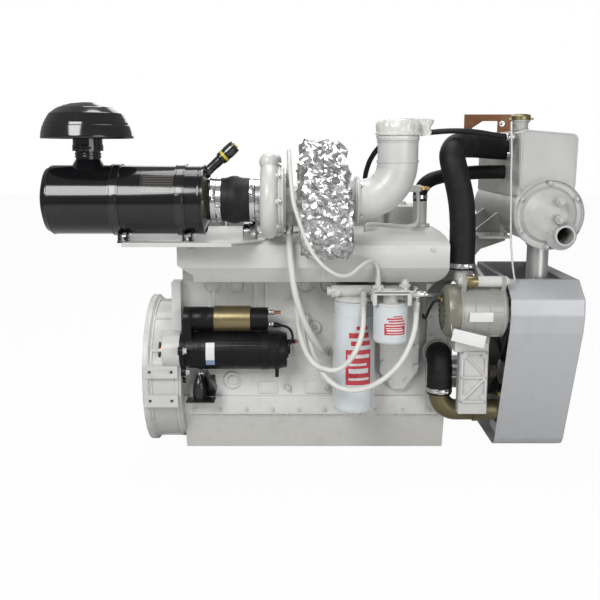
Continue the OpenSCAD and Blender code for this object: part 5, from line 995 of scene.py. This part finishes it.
class ENGINE_OT_starter(bpy.types.Operator):
    """Dress the starter: straps, studs, cables, label and stop solenoid"""
    bl_idname = "engine.starter"
    bl_label = "Starter"

    def execute(self, context):
        s, m = STARTER, SOLENOID
        rings = [turned(bead(x, w, r, t, 0.8), s, X, 80)
                 for x, r, w, t in ((54, 55.8, 9, 1.2), (150, 55.8, 5, 0.9), (232, 55.8, 24, 1.6),
                                    (280, 55.4, 5, 1.2))]
        ribs = spun(box((22, -2, 46.5), (52, 2, 53.5), 1.2), every(14), s)
        cap = turned([(306, 49.5), (308.6, 46), (309.4, 30), (312, 28), (313, 14), (317, 12), (318, 0.1)],
                     s, X, 64)
        piece("starter_trim", "starter", *rings, ribs, cap)
        neck = turned([(0, 33.8), (2, 35), (44, 35), (46, 33.8), (62, 33.8), (63, 36.8)], m, X, 72)
        end = turned([(168, 36.8), (169, 33), (176, 32), (206, 32.4), (214, 30), (217, 24), (217.6, 0.1)],
                     m, X, 72)
        piece("solenoid_case", "starter", neck, end)
        piece("solenoid_band", "brass", turned(bead(63, 105, 37, 0.7, 1), m, X, 80))
        bolts = around(s + X * 308, 36, [math.degrees(a) for a in (0.6, 3.7)])
        piece("starter_through_bolts", "zinc", hex_bolts(bolts, X, 4, 6))

        studs, nuts = [], []
        for z, long in ((-16, 22), (20, 38)):
            foot = m + Vector((217, -6, z))
            studs.append(stud(foot, X, long, 4.6, 18, 0.5))
            nuts += [foot + X * 3, foot + X * 11]
        post = s + Vector((306, -4, 25))
        studs.append(stud(post, X, 36, 4.4, 18, 0.5))
        piece("terminal_studs", "copper", *studs)
        piece("terminal_nuts", "zinc", hex_bolts([*nuts, post + X * 6], X, 7, 7, 1.25), slot="solenoid_brass")
        low = m + Vector((234, -8, -16))
        boot = rod(low, low + Vector((22, -1, -3)), 9, 20, 2, 5)
        link = tube([low + Vector(p) for p in ((14, -1, -2), (30, -2, -4), (44, -4, -10), (53, -4, -26),
                                               (54, 2, -44), (46, 8, -60))], 3.6)
        piece("starter_link", "rubber", boot, link, outward=False)
        for name, finish, turn, width in (("starter_label", "label_white", 108, 52),
                                          ("starter_chip", "label_blue", 126, 18)):
            plate = turned(hoop(77, 25, 56.4, 57.0), ORIGIN, X, 14, width)
            piece(name, finish, moved(plate, s, tilted(turn, X)))
        piece("starter_drain", "starter", stud((389, -200, 18), Z, 28, 5.5, 20, 1))

        boot = [turned([(-57, 0.1), (-57, 17), (-40, 21), (-22, 20), (-8, 18), (0, 15), (4, 12), (16, 10),
                        (18, 0.1)], STOP_SOLENOID, Z, 40)]
        boot += [turned([(z, r), (z + 2, r + 1.6), (z + 4, r)], STOP_SOLENOID, Z, 40)
                 for z, r in ((-34, 19.6), (-24, 19), (-14, 18))]
        bracket = [box((122, -205, -60), (206, -139, -56.5)), box((171, -149, -58), (204, -139, 8))]
        for (x, z), (far_x, far_z) in (((180, 27), (210, -26)), ((210, -26), (198, -62))):
            way = Vector((far_x - x, 0, far_z - z))
            bar = box((0, -202, -1.6), (way.length, -150, 1.6), 0.8)
            bracket.append(moved(bar, (x, 0, z), Matrix.Rotation(math.atan2(-way.z, way.x), 4, Y)))
        body = piece("stop_solenoid_body", "black_metal", *boot, *bracket, slot=SLOTS["stop_solenoid"])
        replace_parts(body, "stop_solenoid")
        lever = rod(STOP_SOLENOID + Z * 20, STOP_SOLENOID + Vector((16, 0, 24)), 3, 12, 0.5)
        piece("stop_plunger_tip", "zinc", stud(STOP_SOLENOID + Z * 14, Z, 12, 4, 16, 0.5), lever)
        wires = [tube([(120, -174 + y, z), (100, -180 + y, 12 + z), (104, -196 + y, 44 + z),
                       (124, -206 + y, 60 + z), (136, -186 + y, 100 + z)], 2.6)
                 for y, z in ((0, 0), (-4, 7), (-2, -6))]
        piece("starter_wires", "rubber", *wires, outward=False)
        return {"FINISHED"}


class ENGINE_OT_filters(bpy.types.Operator):
    """Dress the filters: seams, fluted bases, valves, plugs and bracket bolts"""
    bl_idname = "engine.filters"
    bl_label = "Filters"

    def execute(self, context):
        seams = [turned(profile, OIL_FILTER, Z, 96) for profile in (
            [(-39, 56), (-40, 59.6), (-44, 59.8), (-45.5, 59)],
            [(-0.5, 55.4), (-1.5, 57.4), (-5, 57.4), (-6, 56)],
            [(-300, 59), (-303, 59.7), (-309, 58.6), (-314, 56.4), (-318.2, 50), (-315, 44), (-313, 0.1)])]
        flutes = spun(box((-3.2, 52, -316), (3.2, 58, -296), 1.8), every(15), OIL_FILTER, Z)
        piece("oil_filter_seams", "pale_can", *seams, flutes)
        seams = [turned(profile, COOLANT_FILTER, Z, 80) for profile in (
            [(-1, 44), (-2, 47.6), (-6, 47.8), (-8, 46.9)],
            [(-92, 46.9), (-95, 47.4), (-99, 46), (-103, 42), (-103.4, 36), (-101, 0.1)])]
        piece("coolant_filter_seams", "pale_can_small", *seams)

        trim = [stud(FILTER_HEAD + X * 543, X, 124, 17.6, 40, 2),
                stud(FILTER_HEAD + X * 531, X, 14, 12.5, 6, 1),
                stud(FILTER_HEAD + X * 664, X, 16, 13, 6, 1),
                turned([(0, 57.5), (2, 58.8), (10, 58.8), (12, 56)], OIL_FILTER + Z * 0.5, Z, 80),
                stud((560, -282, 281), -Y, 8, 9, 6, 1),
                rod((631, -262, 262), (631, -300, 281), 9.5, 6, 1),
                box((652, -372, 292), (752, -366, 300)),
                stud((700, -330, 262), Z, 38, 22, 6, 1),
                stud((656, -300, 297), X, 28, 8, 24, 1)]
        piece("filter_head_trim", "smooth_paint", *trim)
        knob = turned([(0, 11), (1, 14), (8, 14), (10, 11), (16, 8), (22, 7.6), (23, 0.1)], VENT_KNOB, Z, 40)
        grips = [stud(p, Z, 8, 1.8, 10) for p in around(VENT_KNOB + Z, 14, every(8), Z)]
        piece("vent_knob", "smooth_paint", knob, *grips)
        piece("valve_body", "zinc", stud(FILTER_VALVE, X, 37, 10, 6, 1),
              stud(FILTER_VALVE + X * 35, X, 12, 8, 24, 0.8),
              stud(FILTER_VALVE + X * 15, Z, 12, 7, 6, 0.8),
              stud((772, -330, 276), -Z, 18, 10, 6, 1))
        small = hex_bolts([(668, -368, 300), (738, -368, 300), (668, -300, 298)], Z, 5.5, 7)
        large = hex_bolts([(x, y, 296) for y in (-190, -140) for x in (562, 656)], Z, 6.5, 8)
        piece("filter_head_bolts", "smooth_paint", small, large)
        return {"FINISHED"}


class ENGINE_OT_alternator(bpy.types.Operator):
    """Dress the alternator: slots painted as black shade, bush, bracket webs, bolts, lead, a plain tag and a
    blank sticker
    """
    bl_idname = "engine.alternator"
    bl_label = "Alternator"

    def execute(self, context):
        rings = [turned(bead(x, w, r, t, 0.8), ALTERNATOR, X, 88)
                 for x, r, w, t in ((43, 73.4, 5, 2.2), (78, 71.8, 4, 1.6), (118, 71.8, 4, 1.6),
                                    (156, 71.4, 8, 1.8))]
        fins = spun(box((126, -1.6, 70.4), (154, 1.6, 73.6), 0.6), every(26), ALTERNATOR)
        piece("alternator_ribs", "alternator", *rings, fins)
        # Black bars on the front stand for the vent slots: painted shade in the openings
        slots = spun(box((-1.0, -3.2, 38), (1.2, 3.2, 54), 0.6), every(18), ALTERNATOR)
        piece("alternator_slots", "plastic", slots, slot="alternator_paint")
        piece("bracket_bush", "brass", stud(BRACKET_BUSH, X, 31, 16, 36, 1))
        piece("bracket_bolts", "cast", hex_bolts([BRACKET_BUSH - X * 12], -X, 11, 10),
              hex_bolts([BRACKET_BUSH + X * 107], X, 11, 10),
              hex_bolts([(x, -277, z) for z in (100, -20) for x in (918, 972)], -Y, 8, 8))
        web = [box((x, -284, -36), (x + 7, -275, 112), 2) for x in (908, 975)]
        web += [box((908, -284, z), (982, -275, z + 7), 2) for z in (-36, 34, 105)]
        web += [rod((914, -279, near), (976, -279, far), 4, 12, 1) for near, far in ((108, 42), (-32, 34))]
        piece("bracket_webs", "cast", *web)
        plate = box((-46, -0.7, -17), (46, 0.7, 17), 0.5)
        tag = moved(plate, (913, -352, 166), tilted(14, Y) @ tilted(-8, X))
        piece("alternator_tag", "tag", tag)
        sticker = box((913, -355.6, 212), (977, -353.0, 238), 0.4)
        piece("alternator_sticker", "label_white", sticker, slot="alternator_paint")
        string = tube([(870, -352, 178), (866, -350, 196), (868, -346, 214)], 0.8, resolution=3)
        piece("tag_string", "tag", string, outward=False)
        terminals = [stud((842, y, 262), X, 10, 6, 6, 0.6) for y in (-300, -262)]
        piece("alternator_terminals", "brown", *terminals)
        lead = tube([(842, -300, 262), (828, -300, 260), (816, -290, 240), (812, -262, 214), (812, -220, 196),
                     (815, -170, 190), (820, -140, 190)], 4)
        piece("alternator_lead", "rubber", lead, outward=False)
        return {"FINISHED"}


def on_rusted_plate(c):
    """Tells whether a point of the tank, in metres, is on the lifting plate at its far side."""
    beyond = c.z > 0.7235 or c.x < 0.9999 or (c.x < 1.0555 and c.z > 0.70)
    return 0.0595 < c.y < 0.0665 and c.z > 0.64 and beyond


class ENGINE_OT_tank(bpy.types.Operator):
    """Dress the tank: rounded shell, weld beads, rusted plate, cover bolts and overflow tube"""
    bl_idname = "engine.tank"
    bl_label = "Tank and heat exchanger"

    def execute(self, context):
        shell = soft_copy("expansion_tank", "tank_shell", 0.0016, "tank")
        shell.data.materials.append(MATERIALS["rust"])
        for polygon in shell.data.polygons:
            if on_rusted_plate(polygon.center):
                polygon.material_index = 1
        trim = [turned(bead(-12, 12, 93.8, 1.4, 1), EXCHANGER, Y, 96),
                turned(bead(12, 5, 84.5, 2.9, 1), EXCHANGER, Y, 96),
                turned([(0.5, 22.6), (0, 24), (1, 27.8), (4, 28.6), (7, 27.2)], RAW_WATER_STUB, Y, 64),
                turned([(24, 30), (27, 33), (34, 38), (38, 43)], RAW_WATER_STUB, Y, 64),
                tube([(1057, -262, 560), (1057, -262, 714), (1060, -262, 718), (1067, -262, 721),
                      (1195, -262, 710), (1203, -262, 706), (1207, -262, 698), (1205, -262, 572)], 2.4,
                     smooth=False, resolution=3, rings=2)]
        piece("tank_trim", "tank", *trim)
        plugs = []
        for z in (531, 485):
            plugs += [stud((1152, -314, z), -Y, 15, 13, 8, 1.2),
                      stud((1152, -327, z), -Y, 11, 7.5, 6, 0.8)]
        piece("cover_plugs", "tank", *plugs)
        rim = around(EXCHANGER - Y * 5, 86.5, every(6, 30), Y)
        piece("cover_bolts", "tank", hex_bolts(rim, -Y, 5.6, 6))
        piece("neck_weld", "tank", turned([(0, 22.4), (2, 25), (6, 23.4)], FILLER_NECK, Z, 56))
        crown = turned([(39, 28.4), (40, 29), (44, 24), (46, 20), (47, 0.1)], FILLER_NECK, Z, 56)
        piece("cap_crown", "brass", crown, body="filler_lid", slot="cap_brass")
        overflow = tube([(1056, -156, 742), (1048, -176, 746), (1040, -206, 738), (1033, -240, 706),
                         (1030, -262, 660), (1029, -270, 600), (1030, -276, 540), (1031, -280, 480),
                         (1033, -284, 420), (1037, -290, 370), (1041, -296, 335), (1044, -300, 318)], 2.6,
                        resolution=4)
        piece("overflow_tube", "smooth_paint", overflow, slot="tank_paint", outward=False)
        piece("vent_fitting", "zinc", stud(VENT_PORT, X, 26, 9, 6, 0.8),
              stud(VENT_PORT - X * 6, X, 10, 10, 24, 0.8),
              stud((1058, -140, 655), -X, 12, 8, 6, 0.8))
        saddles = hex_bolts([(x, y, 426) for x in (1000, 1040) for y in (-150, 150)], Z, 7, 8)
        piece("table_bolts", "tank", saddles)
        plate = hex_bolts([(1075, 60, 748), (1142, 60, 748), (972, 60, 672), (972, 60, 706)], -Y, 6, 7)
        piece("plate_bolts", "zinc", plate)
        return {"FINISHED"}


class ENGINE_OT_coolant(bpy.types.Operator):
    """Sweep the black coolant hoses and the coolant rail, with clamps and the plated pipe's trim"""
    bl_idname = "engine.coolant"
    bl_label = "Coolant hoses"

    def execute(self, context):
        parts = [tube(route, radius, resolution=detail, rings=8)
                 for route, radius, detail in ((TALL, 36, 12), (BYPASS, 20, 10), (VENT, 7.5, 6),
                                               (LOWER, 36, 12))]
        for part in parts:
            for v in part.data.vertices:
                v.co += v.normal * 0.0006 * noise.noise(v.co * 40)
        hoses = piece("coolant_hose_rubber", "rubber", *parts, angle=50, outward=False)
        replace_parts(hoses, "coolant_hoses")
        piece("coolant_clamps", "zinc", worm_clamp(PUMP_INLET, 36.3, axis=Z),
              turned(hoop(0, 13, 36.2, 37.4), PUMP_OUTLET - Y * 17, Y, 64),
              turned(hoop(0, 10, 20.2, 21.2), (800, -150, 532), Z, 56))
        flange = turned([(0, 36), (0, 44), (6, 45), (8, 43)], PUMP_OUTLET, Y, 64)
        piece("outlet_flange", "cast", flange)
        band = turned([(0, 30.2), (0, 33.6), (26, 33.6), (26, 30.2)], (960, -201, -80), X, 64)
        piece("pipe_band", "olive_zinc", band, stud(PIPE_PLUG - Z * 12, Z, 12, 8, 6, 0.8))
        plug = stud(PIPE_PLUG, Z, 8, 5, 20, 0.6)
        piece("pipe_plug", "yellow", plug, slot="olive_zinc")
        bent = tube([(640, -214, 440), (642, -208, 458), (652, -204, 462), (700, -204, 460), (764, -204, 457),
                     (778, -203, 460), (786, -201, 470), (788, -196, 500), (788, -190, 540), (786, -187, 553),
                     (774, -185, 560), (764, -185, 561)], 5.5, resolution=6)
        rail = tube([(796, -185, 562), (730, -185, 562), (690, -180, 558), (676, -150, 540), (672, -90, 500),
                     (672, -60, 480)], 10, resolution=8)
        piece("coolant_rail", "smooth_paint", rail, outward=False)
        piece("rail_fitting", "brown", stud(RAIL_END, X, 12, 8, 6, 0.6),
              stud(RAIL_END + X * 10, X, 18, 5.5, 20, 0.6))
        piece("manifold_tube", "smooth_paint", bent, outward=False)
        return {"FINISHED"}


class ENGINE_OT_block_detail(bpy.types.Operator):
    """Add the block's ribs, plugs, pads and bolts"""
    bl_idname = "engine.block_detail"
    bl_label = "Block detail"

    def execute(self, context):
        parts = [turned([(2, 26), (-3.4, 26), (-4.4, 23.4), (1.6, 21.6), (2.4, 16), (-2.2, 14), (-2.6, 0.1)],
                        (x, -122, 278), Y, 48) for x in (200, 268.4, 473.6, 538.4)]
        parts.append(turned([(2, 27), (-3.4, 27), (-4.6, 24), (1.6, 22), (2.4, 16), (-2.6, 13), (-3, 0.1)],
                            (254, -138, -10), Y, 48))
        parts += [box((x - half, -126, low), (x + half, -120, high), 2)
                  for x, low, high, half in ((200, 60, 300, 5), (324, 60, 300, 6), (356, 44, 300, 5),
                                             (440, 60, 250, 5))]
        parts += [box((x, -142, -50), (x + w, -136, -12), 3) for x, w in ((140, 40), (330, 60), (470, 80))]
        parts += [box((112, -127, 292), (826, -120, 318), 3), box((112, -146, -86), (826, -137, -66), 3)]
        plugs = [Vector((x, -148, -30)) for x in (420, 536, 600)]
        parts += [stud(p + Y * 9, -Y, 9, 10, 30, 2) for p in plugs]
        parts.append(stud((500, -122, 150), -Y, 9, 19, 40, 3))
        ribs = copies(joined(parts), [Matrix.Identity(4), Matrix.Scale(-1, 4, Y)])
        piece("block_ribs", "block_paint_lightened", ribs)
        heads = hex_bolts([*plugs, (500, -131, 150)], -Y, 6.5, 7)
        row = hex_bolts([(150 + k * 96, -128, 305) for k in range(8)], -Y, 5.5, 6)
        pan = hex_bolts([(140 + k * 78, -151, -96) for k in range(10)], -Y, 4.5, 5)
        piece("block_bolts", "cast", heads, row, pan)
        strip = hex_bolts([(x, -291, 400) for x in (160, 820)], -Y, 5, 5)
        piece("manifold_marks", "smooth_paint", strip, box((518, -292.2, 320), (521, -289, 410)))
        return {"FINISHED"}


class ENGINE_OT_flywheel_end(bpy.types.Operator):
    """Add the flywheel housing's ribs, rings and nuts, and the boss behind the starter"""
    bl_idname = "engine.flywheel_end"
    bl_label = "Flywheel end"

    def execute(self, context):
        starter_side = (3, 4)
        angles = [a for k, a in enumerate(every(12, 4)) if k not in starter_side]
        ribs = spun(box((22, -4, 206), (98, 4, 216.5), 2.5), angles)
        boss = stud((52, -176, 134), X, 58, 17, 32, 6)
        rings = [turned(bead(x, 12, 211, 5, 2), ORIGIN, X, 120) for x in (16, 92)]
        piece("housing_ribs", "cast", ribs, boss, *rings)
        piece("housing_nuts", "cast", hex_bolts(around(X * 16, 214.3, every(12)), X, 6.5, 7))
        return {"FINISHED"}


class ENGINE_OT_guard(bpy.types.Operator):
    """Add the belt guard's screws"""
    bl_idname = "engine.guard"
    bl_label = "Belt guard"

    def execute(self, context):
        screws = hex_bolts([(1038, y, -131) for y in (-165, -140, -185)], X, 5, 6)
        piece("guard_screws", "zinc", screws)
        return {"FINISHED"}


class ENGINE_OT_stage(bpy.types.Operator):
    """Add the pale floor, backdrop colour and soft studio lights"""
    bl_idname = "engine.stage"
    bl_label = "Stage"

    def execute(self, context):
        alone()
        bpy.ops.mesh.primitive_plane_add(size=30, location=(0.5, 0, FLOOR_LEVEL))
        floor = context.object
        floor.name = "floor"
        finish = Finish("pale floor", (0.62, 0.62, 0.61), 0.8)
        finish.grain(30, 2, 0.02, 0.001)
        glow = finish.node("ShaderNodeEmission", {"Strength": 1.0})
        seen = finish.node("ShaderNodeLightPath").outputs["Is Camera Ray"]
        blend = finish.node("ShaderNodeMixShader", {"Fac": finish.math("MULTIPLY", seen, 0.97),
                                                    1: finish.shader.outputs[0], 2: glow.outputs[0]})
        output = finish.tree.nodes["Material Output"]
        finish.tree.links.new(blend.outputs[0], output.inputs["Surface"])
        floor.data.materials.append(finish.material)

        world = bpy.data.worlds.new("studio")
        context.scene.world = world
        world.use_nodes = True
        tree = world.node_tree
        back = tree.nodes["Background"]
        back.inputs["Color"].default_value = (1, 1, 1, 1)
        path = wired(tree, "ShaderNodeLightPath").outputs
        direct = wired(tree, "ShaderNodeMath", {0: path["Is Camera Ray"], 1: path["Is Transmission Ray"]},
                       operation="MAXIMUM")
        level = wired(tree, "ShaderNodeMapRange", {"Value": direct.outputs[0], "To Min": 0.24, "To Max": 1.0})
        tree.links.new(level.outputs[0], back.inputs["Strength"])
        for name, spot, target, size, power in (
                ("key_light", (-1.0, -3.0, 2.3), (0.5, 0, 0.2), 1.8, 92),
                ("fill_light", (2.4, -3.1, 0.7), (0.6, 0, 0.1), 2.2, 36),
                ("top_light", (0.5, 0.3, 3.2), (0.5, 0, 0.2), 2.0, 48),
                ("back_light", (0.4, 3.0, 1.9), (0.5, 0, 0.3), 2.4, 26)):
            bpy.ops.object.light_add(type="AREA", location=spot)
            lamp = context.object
            lamp.name = name
            lamp.data.shape = "DISK"
            lamp.data.size = size
            lamp.data.energy = power
            lamp.rotation_euler = (Vector(target) - Vector(spot)).to_track_quat("-Z", "Y").to_euler()
        context.scene.view_settings.view_transform = "Standard"
        return {"FINISHED"}


class ENGINE_PT_panel(bpy.types.Panel):
    """Lists the engine's pieces and settings"""
    bl_idname = "ENGINE_PT_panel"
    bl_label = "Marine engine"
    bl_space_type = "VIEW_3D"
    bl_region_type = "UI"
    bl_category = "Engine"

    def draw(self, context):
        for settings in (context.scene.engine_colours, context.scene.engine_sizes):
            for key in settings.__annotations__:
                self.layout.prop(settings, key)
        for operator in OPERATORS:
            self.layout.operator(operator.bl_idname)


OPERATORS = (
    ENGINE_OT_camera, ENGINE_OT_white_hoses, ENGINE_OT_castings, ENGINE_OT_foil, ENGINE_OT_film,
    ENGINE_OT_air_filter, ENGINE_OT_turbo, ENGINE_OT_starter, ENGINE_OT_filters, ENGINE_OT_alternator,
    ENGINE_OT_tank, ENGINE_OT_coolant, ENGINE_OT_block_detail, ENGINE_OT_flywheel_end,
    ENGINE_OT_guard, ENGINE_OT_stage,
)
CLASSES = (EngineColours, EngineSizes, *OPERATORS, ENGINE_PT_panel)


def register():
    """Registers the classes and their settings."""
    for item in CLASSES:
        bpy.utils.register_class(item)
    bpy.types.Scene.engine_colours = bpy.props.PointerProperty(type=EngineColours)
    bpy.types.Scene.engine_sizes = bpy.props.PointerProperty(type=EngineSizes)


def unregister():
    """Removes the classes and their settings."""
    del bpy.types.Scene.engine_colours
    del bpy.types.Scene.engine_sizes
    for item in reversed(CLASSES):
        bpy.utils.unregister_class(item)


def main():
    """Builds every piece in order."""
    register()
    build_groups()
    build_materials(bpy.context.scene.engine_colours)
    for operator in OPERATORS:
        group_name, call = operator.bl_idname.split(".")
        getattr(getattr(bpy.ops, group_name), call)()
    alone()


if __name__ == "__main__":
    main()
